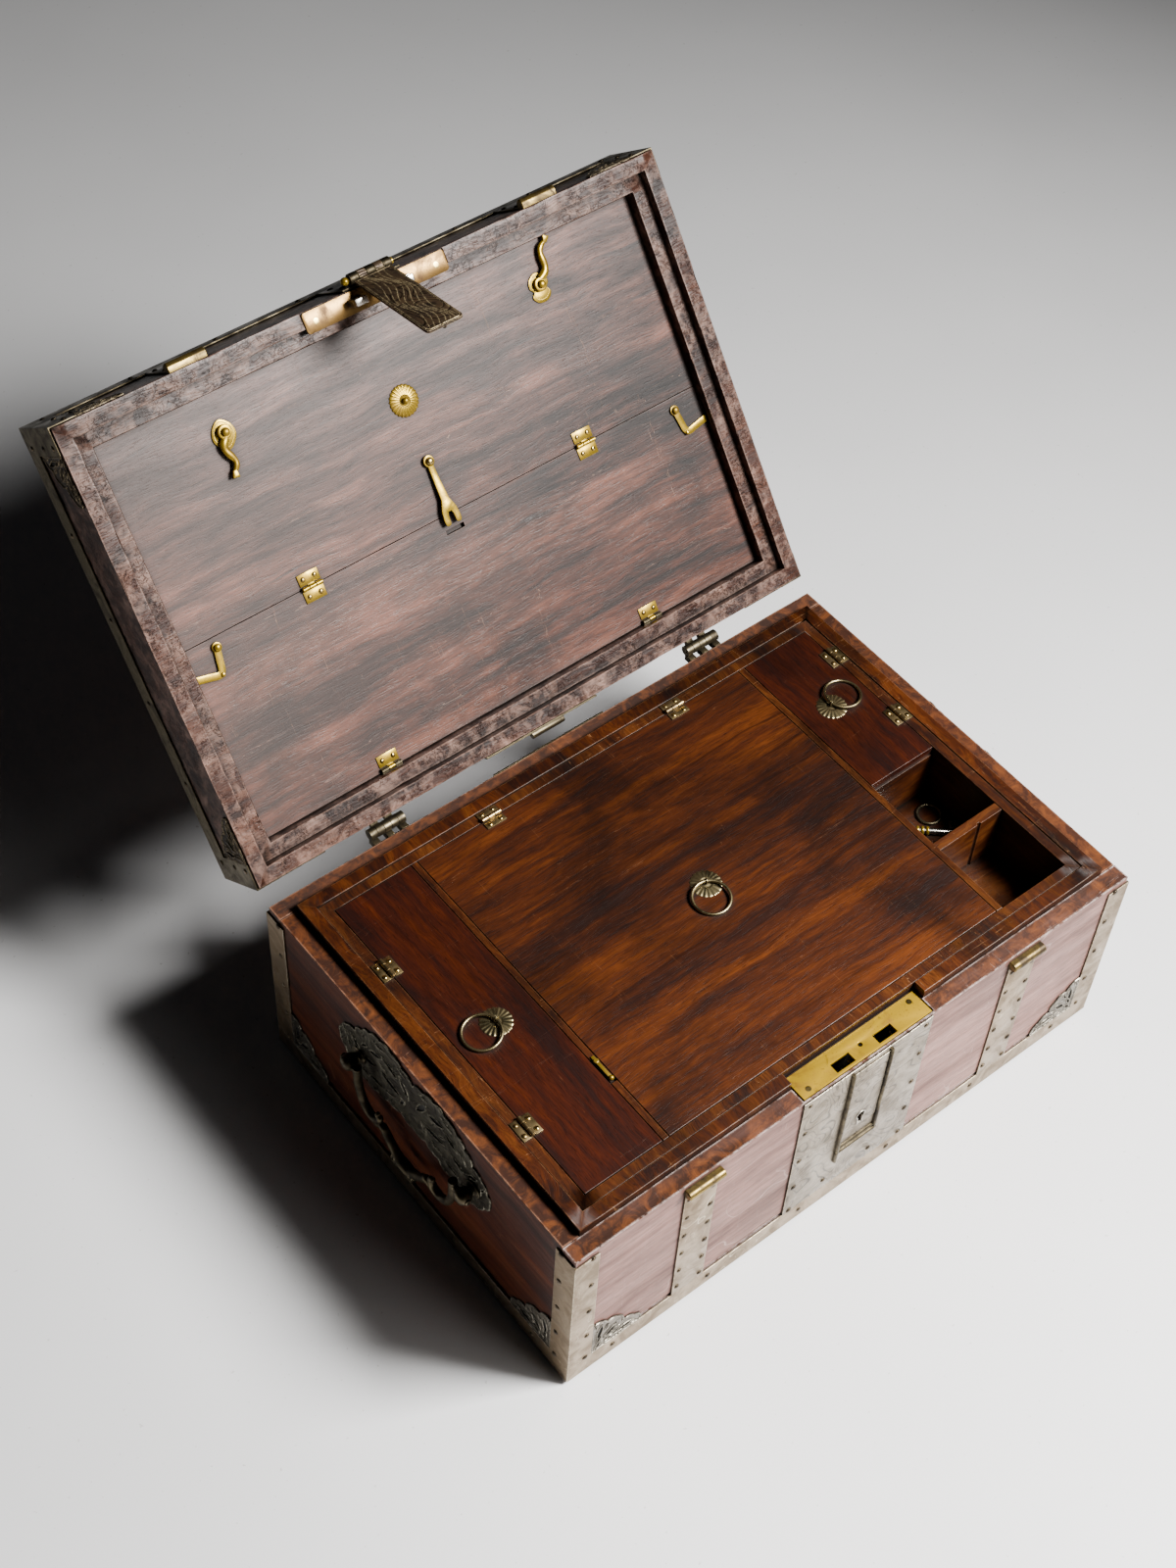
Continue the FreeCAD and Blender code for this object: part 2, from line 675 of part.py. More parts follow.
def cartouche():
    """The pierced plate behind a handle, in a flat frame whose u runs along the side."""
    middle = DEPTH / 2 - 1.5
    upper = [
        (77, 24), (74, 34), (69, 42), (60, 46), (52, 56), (44, 63), (33, 67), (22, 68), (11, 65), (0, 59),
    ]
    lower = [(72, 14), (62, 5), (50, 2), (38, 4), (26, 9), (13, 12), (0, 10)]
    right = [(middle + x, FOOT + 80 + z) for x, z in upper]
    left = [(middle - x, FOOT + 80 + z) for x, z in upper[:-1]]
    low_left = [(middle - x, FOOT + 80 + z) for x, z in lower]
    low_right = [(middle + x, FOOT + 80 + z) for x, z in lower[:-1]]
    ring = right + left[::-1] + low_left + low_right[::-1]
    plate = scalloped(ring, 0.2, 0, SHEET)
    holes = []
    for sign in (1, -1):
        for x, z, length, width, turn in (
            (9, 46, 20, 5, 60), (24, 50, 18, 5, 20), (38, 46, 16, 4.5, -30), (22, 32, 22, 5, 10),
            (45, 30, 14, 4.5, -20), (60, 34, 12, 4, 40), (66, 24, 12, 3.5, 70), (38, 16, 16, 4, -10),
        ):
            lean = turn if sign > 0 else 180 - turn
            holes.append(leaf_hole(middle + sign * x, FOOT + 80 + z, length, width, lean, -1, 3))
    return pierced(plate, holes)


def side_cartouches():
    """The pierced handle plates, one on each end."""
    left = on_side(cartouche(), "left")
    right = left.mirror(Vector(WIDTH / 2, 0, 0), Vector(1, 0, 0))
    return [left, right]


def handle_posts():
    """The bored knobs that carry the two handles."""
    posts = []
    for y in HANDLE_Y:
        x0 = -SHEET
        rings = [(6.4, 0), (3.7, 2.6), (5.2, 4.8), (5.2, 10.6), (3.4, 12.8)]
        post = stack(rings, (x0, y, HANDLE_Z), (-1, 0, 0))
        post = post.cut(bore((-HANDLE_OUT, y - 9, HANDLE_Z), (-HANDLE_OUT, y + 9, HANDLE_Z), BAIL_PIN))
        posts.append(post)
        posts.append(post.mirror(Vector(WIDTH / 2, 0, 0), Vector(1, 0, 0)))
    return posts


def bail(side):
    """A drop handle: two short arms with inward scrolls and a grip that thickens in the middle."""
    x = -HANDLE_OUT
    centre = (HANDLE_Y[0] + HANDLE_Y[1]) / 2
    half = centre - HANDLE_Y[0]
    arm = [(half - 9.5, 5), (half - 9.5, -12), (half - 14, -26), (half - 24, -33), (half - 32, -24)]
    grip = [(arm[-1][0] - 7, -33), (arm[-1][0] - 16, -43), (5, -47)]
    points = [Vector(x, centre - y, HANDLE_Z + z) for y, z in arm + grip]
    points += [Vector(x, centre + y, HANDLE_Z + z) for y, z in (arm + grip)[::-1]]
    grip_bar = mitred_bar(rounded(points, chords=2), Vector(1, 0, 0), BAIL_RADIUS)
    swell = stack([(2.7, -11), (4.2, -2), (4.2, 2), (2.7, 11)], (x, centre, HANDLE_Z - 47), (0, 1, 0))
    pins = []
    for sign in (-1, 1):
        inner = centre + sign * (half - 9.5)
        pins.append(pin((x, inner, HANDLE_Z), (x, centre + sign * (half + 6.5), HANDLE_Z), BAIL_PIN))
    handle = fused([grip_bar, swell] + pins)
    if side == "right":
        handle = handle.mirror(Vector(WIDTH / 2, 0, 0), Vector(1, 0, 0))
    return handle


def rear_knuckles(x, owned, pinned):
    """The knuckles of one rear hinge that belong to the box or to the lid."""
    pitch = REAR_LENGTH / REAR_KNUCKLES
    parts = []
    for k in range(owned, REAR_KNUCKLES, 2):
        x0 = x - REAR_LENGTH / 2 + k * pitch + 0.15
        x1 = x0 + pitch - 0.3
        parts.append(bar((x0, HINGE_Y, HINGE_Z), (x1, HINGE_Y, HINGE_Z), REAR_BARREL))
        if pinned:
            parts.append(box(x0, x1, DEPTH, HINGE_Y, HINGE_Z - 8, HINGE_Z - 3.2))
        else:
            parts.append(box(x0, x1, DEPTH + 0.3, HINGE_Y, HINGE_Z + 3.2, HINGE_Z + 7))
            parts.append(box(x0, x1, DEPTH, DEPTH + 2, HINGE_Z + 4, HINGE_Z + 7))
    return parts


def back_straps():
    """The box's halves of the two rear hinges, which run down the back as straps."""
    straps = []
    for x in REAR_X:
        half = STRAP_WIDTH / 2
        sheet = box(x - half, x + half, DEPTH, DEPTH + SHEET, BAND_TOP, RIM - 2)
        end = REAR_LENGTH / 2 - 0.2
        axle = pin((x - end, HINGE_Y, HINGE_Z), (x + end, HINGE_Y, HINGE_Z), REAR_PIN)
        straps.append(fused([sheet, axle] + rear_knuckles(x, 0, True)))
    return straps


def back_plate():
    """The plate in the middle of the back, under the rim."""
    return box(*BACK_PLATE_X, DEPTH, DEPTH + SHEET, RIM - 46, RIM - 0.6)


def lid_hinges():
    """The lid's halves of the rear hinges and of the two hinges under the document panel."""
    parts = []
    for x in REAR_X:
        half = STRAP_WIDTH / 2
        sheet = box(x - half, x + half, DEPTH, DEPTH + SHEET, HINGE_Z + 5.2, LID_TOP - EDGE_BAND)
        leaf = fused([sheet] + rear_knuckles(x, 1, False))
        parts.append(leaf.cut(bore((x - 20, HINGE_Y, HINGE_Z), (x + 20, HINGE_Y, HINGE_Z), REAR_PIN)))
    for x in PANEL_HINGE_X:
        leaf = hinge_leaf(15.5, 0, 1, 0, pinned=True, upright=6.5)
        leaf = leaf.mirror(Vector(0, 0, 0), Z_AXIS)
        leaf.translate(Vector(x, PANEL_AXIS_Y, AXIS_Z_PANEL))
        parts.append(leaf)
    return parts


def lid_centre_plate():
    """The plate in the middle of the lid's back, with its short rolled edge."""
    plate = box(*BACK_PLATE_X, DEPTH, DEPTH + SHEET, LID_BOTTOM, LID_BOTTOM + 38)
    y, z = DEPTH + 3.4, LID_BOTTOM + 4
    roll = bar((LOCK_CENTRE - 13, y, z), (LOCK_CENTRE + 13, y, z), 2.8)
    return fused([plate, roll])


def tray_placements():
    """Where the six hinges of the tray lids stand: name, centre, and turn about Z."""
    left, right, back = FRAME_IN, WIDTH - FRAME_IN, DEPTH - FRAME_IN
    return {
        "left": [(left, 222.9, 90), (left, 84.4, 90)],
        "centre": [(151.0, back, 0), (303.8, back, 0)],
        "right": [(right, 248.7, -90), (right, 185.4, -90)],
    }


def placed_tray_leaf(leaf, x, y, turn):
    """A tray hinge leaf over its joint line, with the fixed side outward."""
    placed = leaf.copy()
    placed.rotate(Vector(0, 0, 0), Z_AXIS, turn)
    placed.translate(Vector(x, y, AXIS_Z_TRAY))
    return placed


def tray_hinges():
    """The fixed leaves of the tray hinges, with their pins."""
    leaf = hinge_leaf(TRAY_HINGE, TRAY_LEAF, 1, 0, pinned=True)
    return [placed_tray_leaf(leaf, *spot) for spots in tray_placements().values() for spot in spots]


def tray_rows():
    """Each tray lid: its outline, its rosette's place and the way its ring lies."""
    back = DEPTH - FRAME_IN - TRAY_GAP
    left, right = FRAME_IN + TRAY_GAP, WIDTH - FRAME_IN - TRAY_GAP
    return {
        "left": ((left, LEFT_DIVIDER[0] - TRAY_GAP, left, back), (59.7, 153.0), (-0.988, -0.154)),
        "centre": (
            (LEFT_DIVIDER[1] + TRAY_GAP, RIGHT_DIVIDER[0] - TRAY_GAP, left, back),
            (227.2, 155.6), (-0.42, -0.907),
        ),
        "right": (
            (RIGHT_DIVIDER[1] + TRAY_GAP, right, RIGHT_LID_FRONT, back),
            (389.7, 217.0), (0.973, 0.232),
        ),
    }


def tray_lid(name):
    """One of the flush lids of the tray, with eased upper edges."""
    x0, x1, y0, y1 = tray_rows()[name][0]
    return box(x0, x1, y0, y1, TRAY_TOP - TRAY_THICK, TRAY_TOP)


def ring_frame(name, shape):
    """A ring pull's piece, drawn with the ring along +Y, moved to its lid."""
    _, (x, y), (dx, dy) = tray_rows()[name]
    placed = shape.copy()
    placed.rotate(Vector(0, 0, 0), Z_AXIS, math.degrees(math.atan2(dy, dx)) - 90)
    placed.translate(Vector(x, y, TRAY_TOP))
    return placed


def tray_fittings(name):
    """The brass that rides on one tray lid: its hinge leaves and the rosette with its eye."""
    leaf = hinge_leaf(TRAY_HINGE, TRAY_LEAF, -1, 1)
    parts = [placed_tray_leaf(leaf, *spot) for spot in tray_placements()[name]]
    eye = bar((-0.8, 0, RING_AXIS), (0.8, 0, RING_AXIS), 1.95)
    neck = box(-0.8, 0.8, -1.6, 1.6, 0.5, RING_AXIS)
    boss = fused([flower(ROSETTE, 12, 1.0), eye, neck])
    boss = boss.cut(bar((-2, 0, RING_AXIS), (2, 0, RING_AXIS), RING_WIRE + 0.45, 8))
    return parts + [ring_frame(name, boss)]


def ring_pull(name):
    """The loose ring, which hangs in the eye and rests with its far side on the lid."""
    ring = torus(RING_RADIUS, RING_WIRE)
    ring.translate(Vector(0, RING_RADIUS, 0))
    tilt = math.degrees(math.asin((RING_AXIS - RING_WIRE - 0.15) / (2 * RING_RADIUS)))
    ring.rotate(Vector(0, 0, 0), Vector(1, 0, 0), -tilt)
    ring.translate(Vector(0, 0, RING_AXIS))
    return ring_frame(name, ring)


def spring_catch():
    """The little brass leaf spring with a ball end that lies on the left divider."""
    leaf_y = (CATCH_BALL_Y + 0.4, CATCH_ROOT_Y + 4)
    leaf = box(CATCH_X - 1.1, CATCH_X + 1.1, *leaf_y, TRAY_TOP + 0.3, TRAY_TOP + 1.1)
    root = stack([(1.7, 0), (1.7, 1.4)], (CATCH_X, CATCH_ROOT_Y, TRAY_TOP))
    ball_rings = [(0.7, -1.7), (1.6, -0.9), (1.8, 0), (1.6, 0.9), (0.7, 1.7)]
    ball = stack(ball_rings, (CATCH_X, CATCH_BALL_Y, TRAY_TOP + 0.6))
    return fused([leaf, root, ball])


def key():
    """The key, lying across the bottom of the back well, with the ring through its bow."""
    z = WELL_FLOOR_TOP + 3.4
    bow_centre = Vector(*KEY_BOW, z)
    tip = Vector(*KEY_TIP, z)
    way = (tip - bow_centre).normalize()
    bow = torus(KEY_BOW_RADIUS, 1.7, flats_round=12)
    bow.translate(bow_centre)
    neck = bow_centre + way * KEY_BOW_RADIUS
    run = (tip - neck).Length + 9
    rings = [
        (2.1, 0), (2.1, 1.5), (3.2, 2.0), (3.2, 3.8), (2.2, 4.3), (2.2, 8.0), (3.2, 8.5), (3.2, 10.2),
        (2.1, 10.7), (2.1, run),
    ]
    shank = stack(rings, neck, way)
    bit_at = tip + way * 3
    side = Vector(-way.y, way.x, 0)
    bit = framed(box(0, 5.2, 1, 8.5, -1.1, 1.1), way, side, Z_AXIS, bit_at)
    bit = bit.cut(framed(box(2, 3.2, 4.5, 9, -2, 2), way, side, Z_AXIS, bit_at))
    return fused([bow, shank, bit])


def key_ring():
    """The split ring that hangs on the key's shank and lies beside it."""
    ring = torus(8.0, 1.1, flats_round=12)
    ring.translate(Vector(*KEY_RING, WELL_FLOOR_TOP + 1.2))
    return ring


def lid_board():
    """The top of the lid."""
    return box(0, WIDTH, 0, DEPTH, LID_TOP - LID_BOARD, LID_TOP)


def lid_rails():
    """The four outer walls of the lid."""
    return mitred_frame(0, LID_RAIL, LID_BOTTOM, LID_TOP - LID_BOARD)


def lid_inner_frame():
    """The lining inside the lid's walls, with mortises for the hooks and the side latches."""
    strips = mitred_frame(LID_RAIL, LID_FRAME_IN, LID_BOTTOM + LID_STEP, LID_TOP - LID_BOARD)
    inner = LID_FRAME_IN
    for hook in HOOKS.values():
        x = hook["pivot"][0]
        strips[0] = strips[0].cut(box(x - 17, x + 17, inner - 4, inner + 1, LEAF_FACE - 5, LEAF_FACE))
    y = LATCHES["left"]["pivot"][1]
    strips[3] = strips[3].cut(box(inner - 3.6, inner + 1, y + 2, y + 19, LEAF_FACE - 2.6, LEAF_FACE + 0.6))
    y = LATCHES["right"]["pivot"][1]
    right = WIDTH - inner
    strips[1] = strips[1].cut(box(right - 1, right + 3.6, y + 2, y + 19, LEAF_FACE - 2.6, LEAF_FACE + 0.6))
    wall = PANEL_AXIS_Y + RISE
    for x in PANEL_HINGE_X:
        cutter = box(x - 8.1, x + 8.1, wall - 1, wall + 1.3, AXIS_Z_PANEL - 1, AXIS_Z_PANEL + 7.2)
        strips[2] = strips[2].cut(cutter)
    return strips


def leaf_ledges():
    """The battens behind the document panel that its two leaves shut against."""
    z = LEAF_FACE + LEAF_THICK
    return mitred_frame(LID_FRAME_IN, LID_FRAME_IN + LEDGE, z + 0.4, z + 5)


def lid_bands():
    """The brass round the lid's top edges and down its corners."""
    t = SHEET
    z = LID_TOP - EDGE_BAND
    outer = box(-t, WIDTH + t, -t, DEPTH + t, z, LID_TOP + t)
    inside = box(0, WIDTH, 0, DEPTH, 0, LID_TOP)
    window = box(EDGE_BAND, WIDTH - EDGE_BAND, EDGE_BAND, DEPTH - EDGE_BAND, 0, LID_TOP + 5)
    angles = at_corners(angle_strap(LID_BOTTOM + 2, z))
    return fused([outer.cut([inside, window])] + angles)


def lid_mounts():
    """The pierced mounts beside the lid's upright corners."""
    return side_mounts(LEG, LID_BOTTOM + 2.5, 33, 31, ("front", "left", "right", "back"))


def lid_straps():
    """The straps of the lid: half-round bars and legs on the front, and runs over the top."""
    parts = []
    half = STRAP_WIDTH / 2
    for x in STRAP_X:
        sheet = box(x - half, x + half, -SHEET, 0, LID_BOTTOM + 5, LID_TOP - EDGE_BAND)
        y, z = -BAR_RADIUS + 0.6, LID_BOTTOM + BAR_RADIUS + 0.4
        moulding = bar((x - half, y, z), (x + half + 2, y, z), BAR_RADIUS)
        parts.append(fused([sheet, moulding.cut(box(0, WIDTH, 0, 10, 0, LID_TOP))]))
        run = box(x - half, x + half, EDGE_BAND, DEPTH - EDGE_BAND, LID_TOP, LID_TOP + SHEET)
        parts.append(run)
    return parts


def strike_plate():
    """The brass plate under the lid's front rail, with the two notched lugs for the lock."""
    parts = [box(*STRIKE_X, *STRIKE_Y, LID_BOTTOM, LID_BOTTOM + SHEET)]
    for x in LUG_X:
        lug = box(x, x + LUG_LENGTH, *LUG_Y, LID_BOTTOM - LUG_DROP, LID_BOTTOM + 0.4)
        notch = box(x + 3.4, x + LUG_LENGTH + 1, LUG_Y[0] - 1, LUG_Y[1] + 1, *LUG_NOTCH)
        parts.append(lug.cut(notch))
    return fused(parts)


def lid_front_rail_recess():
    """The shallow bed of the strike plate in the lid's front wall and lining."""
    x0, x1 = STRIKE_X
    return box(x0 - 0.2, x1 + 0.2, STRIKE_Y[0] - 0.2, LID_RAIL, LID_BOTTOM - 1, LID_BOTTOM + SHEET)


def lid_nails():
    """The nail heads on the lid's bands and straps."""
    nails = []
    v_band = LID_TOP - EDGE_BAND / 2

    def place(side, u, v):
        nails.append(on_side(nail(u, v, SHEET), side))

    for side, (_, _, _, span) in SIDES.items():
        count = 8 if span == WIDTH else 6
        for i in range(count):
            place(side, LEG_NAIL_IN + (span - 2 * LEG_NAIL_IN) * i / (count - 1), v_band)
        for u in (LEG_NAIL_IN, span - LEG_NAIL_IN):
            for v in (LID_BOTTOM + 8, LID_BOTTOM + 25):
                place(side, u, v)
    for x in STRAP_X:
        for offset in (-STRAP_NAIL_OUT, STRAP_NAIL_OUT):
            for v in (LID_BOTTOM + 15, LID_BOTTOM + 31):
                place("front", x + offset, v)
            for v in (LID_BOTTOM + 18, LID_BOTTOM + 33):
                place("back", WIDTH - x + offset, v)
            for y in (40, 97, 154, 211, 268):
                nails.append(nail(x + offset, y, LID_TOP + SHEET))
    return nails


def hasp_parts():
    """The three pieces of the hasp: the leaf on the lid, the loose pin and the flap."""
    pitch = (HASP_X[1] - HASP_X[0]) / 5
    knuckles = []
    for k in range(5):
        x0 = HASP_X[0] + k * pitch + 0.12
        knuckles.append((x0, x0 + pitch - 0.24))
    hole = bore((HASP_X[0] - 9, HASP_Y, HASP_Z), (HASP_X[1] + 9, HASP_Y, HASP_Z), HASP_PIN)
    leaf = [box(HASP_X[0] - 6, HASP_X[1] + 6, -SHEET, 0, LID_BOTTOM + 1, LID_BOTTOM + 37)]
    for x0, x1 in knuckles[0::2]:
        leaf.append(bar((x0, HASP_Y, HASP_Z), (x1, HASP_Y, HASP_Z), HASP_BARREL))
        leaf.append(box(x0, x1, HASP_Y, -0.6, HASP_Z + 1.6, HASP_Z + HASP_BARREL))
    leaf = fused(leaf).cut(hole)
    axle = pin((HASP_X[0] - 1.4, HASP_Y, HASP_Z), (HASP_X[1] + 1.4, HASP_Y, HASP_Z), HASP_PIN)
    ball_rings = [(1.7, 0.6), (2.7, 2.0), (2.7, 3.6), (1.4, 5.2)]
    finial = stack(ball_rings, (HASP_X[0], HASP_Y, HASP_Z), (-1, 0, 0))
    button = stack([(2.4, 0.4), (2.4, 2.0)], (HASP_X[1], HASP_Y, HASP_Z), (1, 0, 0))
    axle = fused([axle, finial, button])
    half = HASP_WIDTH / 2
    centre = LOCK_CENTRE
    back = HASP_Y + 1.0
    flap = [box(centre - half, centre + half, back - 1.8, back, HASP_Z - HASP_LENGTH, HASP_Z - 5)]
    for x0, x1 in knuckles[1::2]:
        flap.append(bar((x0, HASP_Y, HASP_Z), (x1, HASP_Y, HASP_Z), HASP_BARREL))
        flap.append(box(x0, x1, back - 1.8, back, HASP_Z - 6, HASP_Z))
    flap = fused(flap).cut(hole)
    stud_radius, stud_height, from_end = HASP_STUD
    stud_z = HASP_Z - HASP_LENGTH + from_end
    stud = bar((centre, back - 1, stud_z), (centre, back + stud_height, stud_z), stud_radius, 8)
    flap = fused([flap, stud])
    lean = HASP_LEAN
    for shape in (axle, flap):
        shape.rotate(Vector(0, HASP_Y, HASP_Z), Vector(1, 0, 0), lean)
    return leaf, axle, flap


def lower_leaf():
    """The lower leaf of the document panel, with the mortise for the forked lever."""
    inner = LID_FRAME_IN + LEAF_GAP
    back = PANEL_AXIS_Y + 1.3
    z = (LEAF_FACE, LEAF_FACE + LEAF_THICK)
    leaf = box(inner, WIDTH - inner, FOLD_Y + 0.2, back, *z)
    return leaf.cut(box(*MORTISE_X, *MORTISE_Y, LEAF_FACE - 1, LEAF_FACE + 3))


def upper_leaf():
    """The upper leaf, which folds down over the lower one and swings clear of the hanging hasp."""
    inner = LID_FRAME_IN + LEAF_GAP
    z = (LEAF_FACE, LEAF_FACE + LEAF_THICK)
    return box(inner, WIDTH - inner, LEAF_FRONT, FOLD_Y - 0.2, *z)


def panel_leaf(side, owned, x, y, width=9.5, pinned=False):
    """A hinge leaf on the visible face of the document panel."""
    leaf = hinge_leaf(15.0, width, side, owned, pinned=pinned)
    leaf = leaf.mirror(Vector(0, 0, 0), Z_AXIS)
    leaf.translate(Vector(x, y, AXIS_Z_PANEL))
    return leaf


def lower_leaf_hinges():
    """The hinge leaves on the lower leaf: two at the fold and two at its foot."""
    fold = [panel_leaf(1, 0, x, FOLD_Y, pinned=True) for x in LEAF_HINGE_X]
    foot = [panel_leaf(-1, 1, x, PANEL_AXIS_Y) for x in PANEL_HINGE_X]
    return fold + foot


def upper_leaf_fittings():
    """What is fixed to the upper leaf: its hinge leaves, the hooks' shields and the rosette."""
    parts = [panel_leaf(-1, 1, x, FOLD_Y) for x in LEAF_HINGE_X]
    shield = [(-6.5, -3), (0, -8), (6.5, -3), (8, 4), (3.5, 8.5), (0, 12), (-3.5, 8.5), (-8, 4)]
    for hook in HOOKS.values():
        plate = scalloped(shield, 0.15, 0, 1.0)
        stem = pin((0, 0, 0), (0, 0, 5.2), HOOK_PIN)
        head = ball_head(2.6, 4.8)
        parts.append(under_lid(fused([plate, stem, head]), *hook["pivot"]))
    knob = fused([flower(ROSETTE, 12, 1.6), bar((0, 0, 0), (0, 0, 2.6), 1.5, 8), ball_head(2.2, 2.4)])
    parts.append(under_lid(knob, *PANEL_ROSETTE))
    return parts


def swan_hook(name):
    """An S-necked hook on its pivot, with an eye at one end and a square beak at the other."""
    hook = HOOKS[name]
    reach = hook["reach"]
    z0, z1 = 1.6, 4.4
    steps = 8
    left, right = [], []
    for i in range(steps + 1):
        s = i / steps
        x = 3 + (reach - 6.5) * s
        y = 2.6 * math.sin(2 * math.pi * s)
        half = 3.0 - 1.4 * s
        left.append((x, y + half))
        right.append((x, y - half))
    neck = prism(right + left[::-1], z0, z1)
    eye = stack([(4.6, z0), (4.6, z1)], sides=12)
    beak = box(reach - 4.2, reach, -2.0, 2.0, z0, z1)
    shape = fused([eye, neck, beak]).cut(bore((0, 0, -1), (0, 0, 8), HOOK_PIN))
    shape.rotate(Vector(0, 0, 0), Z_AXIS, hook["angle"])
    return under_lid(shape, *hook["pivot"])


def flat_bar(start, end, width, z0, z1):
    """A flat bar between two points, square at both ends."""
    start, end = Vector(*start, 0), Vector(*end, 0)
    way = (end - start).normalize()
    side = Vector(-way.y, way.x, 0) * (width / 2)
    corners = [start - side, end - side, end + side, start + side]
    return prism([(c.x, c.y) for c in corners], z0, z1)


def side_latch(name):
    """An L-shaped latch that turns on a ball-headed screw and pushes its foot into the frame."""
    latch = LATCHES[name]
    pivot, elbow, end = latch["pivot"], latch["elbow"], latch["end"]
    sign = -1 if name == "left" else 1
    beyond = (elbow[0] - sign * 2.4, elbow[1] + 0.5)
    z0, z1 = LEAF_FACE - 1.6, LEAF_FACE - 0.2
    low = (elbow[0] + (elbow[0] - pivot[0]) * 0.14, elbow[1] + (elbow[1] - pivot[1]) * 0.14)
    past = (end[0] + sign * 3, end[1] + (end[1] - elbow[1]) * 0.16)
    parts = [
        flat_bar(pivot, low, 4.6, z0, z1),
        flat_bar(beyond, past, 5.0, z0, z1),
        bar((*pivot, z0), (*pivot, z1), 3.3, 12),
    ]
    latch_shape = fused(parts)
    if name == "left":
        latch_shape = latch_shape.cut(box(0, end[0], 100, 220, z0 - 1, z1 + 1))
    else:
        latch_shape = latch_shape.cut(box(end[0], WIDTH, 100, 220, z0 - 1, z1 + 1))
    hole = bore((*pivot, z0 - 1), (*pivot, z1 + 1), LATCH_PIN)
    stud = stack([(1.5, 0), (1.2, 0.8), (0.6, 1.3)], (*elbow, z0), (0, 0, -1))
    return fused([latch_shape.cut(hole), stud])


def latch_screws():
    """The ball-headed screws that the side latches turn on."""
    screws = []
    for latch in LATCHES.values():
        stem = pin((0, 0, 0), (0, 0, 2.4), LATCH_PIN)
        screws.append(under_lid(fused([stem, ball_head(2.4, 1.8)]), *latch["pivot"]))
    return screws


def fork_screw():
    """The ball-headed screw of the forked lever, with the collar that holds the lever off the leaf."""
    collar = stack([(3.6, 0.2), (3.6, 1.2)], sides=12)
    stem = pin((0, 0, 0.2), (0, 0, 3.6), FORK_PIN)
    return under_lid(fused([collar, stem, ball_head(2.5, 2.9)]), *FORK_PIVOT)


def fork_lever():
    """The springy lever: an eye, a bar that rises from the leaf, and two tines."""
    start, lift = FORK_START, FORK_UNDER
    length, thick = FORK_LENGTH, FORK_THICK
    outline = [
        (2.0, 0), (2.9, 26), (5.6, 33), (6.3, length - 4), (4.9, length), (2.1, length), (1.5, 34.5),
    ]
    outline += [(-x, y) for x, y in outline[::-1]]
    blank = prism(outline, 0, 6)
    rise = [(0, start), (6, start), (30, lift), (length + 1, lift)]
    under = [Vector(-10, y, z) for y, z in rise]
    over = [Vector(-10, y, z + thick) for y, z in rise[::-1]]
    ring = under + over
    band = Part.Face(Part.makePolygon(ring + ring[:1])).extrude(Vector(20, 0, 0))
    eye = stack([(3.9, start), (3.9, start + thick)], sides=12)
    lever = fused([blank.common(band), eye])
    return under_lid(lever.cut(bore((0, 0, -1), (0, 0, 8), FORK_PIN)), *FORK_PIVOT)


def opened(shape):
    """A piece of the shut lid, swung open with it."""
    turned = shape.copy()
    turned.rotate(Vector(0, HINGE_Y, HINGE_Z), Vector(-1, 0, 0), LID_OPEN)
    return turned


def as_list(piece):
    """The solids of a node, which is drawn as one piece or as a list of them."""
    return list(piece) if isinstance(piece, (list, tuple)) else [piece]


def body_pieces():
    """Every piece that stays with the box, by node."""
    pieces = {
        "front_board": front_board(),
        "back_board": back_board(),
        "side_boards": side_boards(),
        "bottom_board": bottom_board(),
        "rim_lip": rim_lip(),
        "inner_frame": inner_frame(),
        "compartment_dividers": dividers(),
        "well_box": well_box(),
        "tray_ledges": tray_ledges(),
        "base_band": base_band(),
        "corner_straps": at_corners(angle_strap(BAND_TOP, RIM - 5)),
        "front_straps": front_straps(),
        "back_straps": back_straps() + [back_plate()],
        "corner_mounts": side_mounts(LEG, BAND_TOP, 39, 36, SIDES),
        "lock_plate": lock_plate(),
        "lock_moulding": lock_moulding(),
        "keyhole_plate": keyhole_plate(),
        "lock_top_plate": lock_top_plate(),
        "lock_case": lock_case(),
        "lock_bolt": lock_bolt(),
        "feet": feet(),
        "body_nails": body_nails(),
        "side_cartouches": side_cartouches(),
        "handle_posts": handle_posts(),
        "left_bail": bail("left"),
        "right_bail": bail("right"),
        "tray_hinges": tray_hinges(),
        "spring_catch": spring_catch(),
        "key": [key(), key_ring()],
    }
    for name in tray_rows():
        pieces[name + "_tray_lid"] = tray_lid(name)
        pieces[name + "_tray_fittings"] = tray_fittings(name)
        pieces[name + "_ring"] = ring_pull(name)
    return pieces


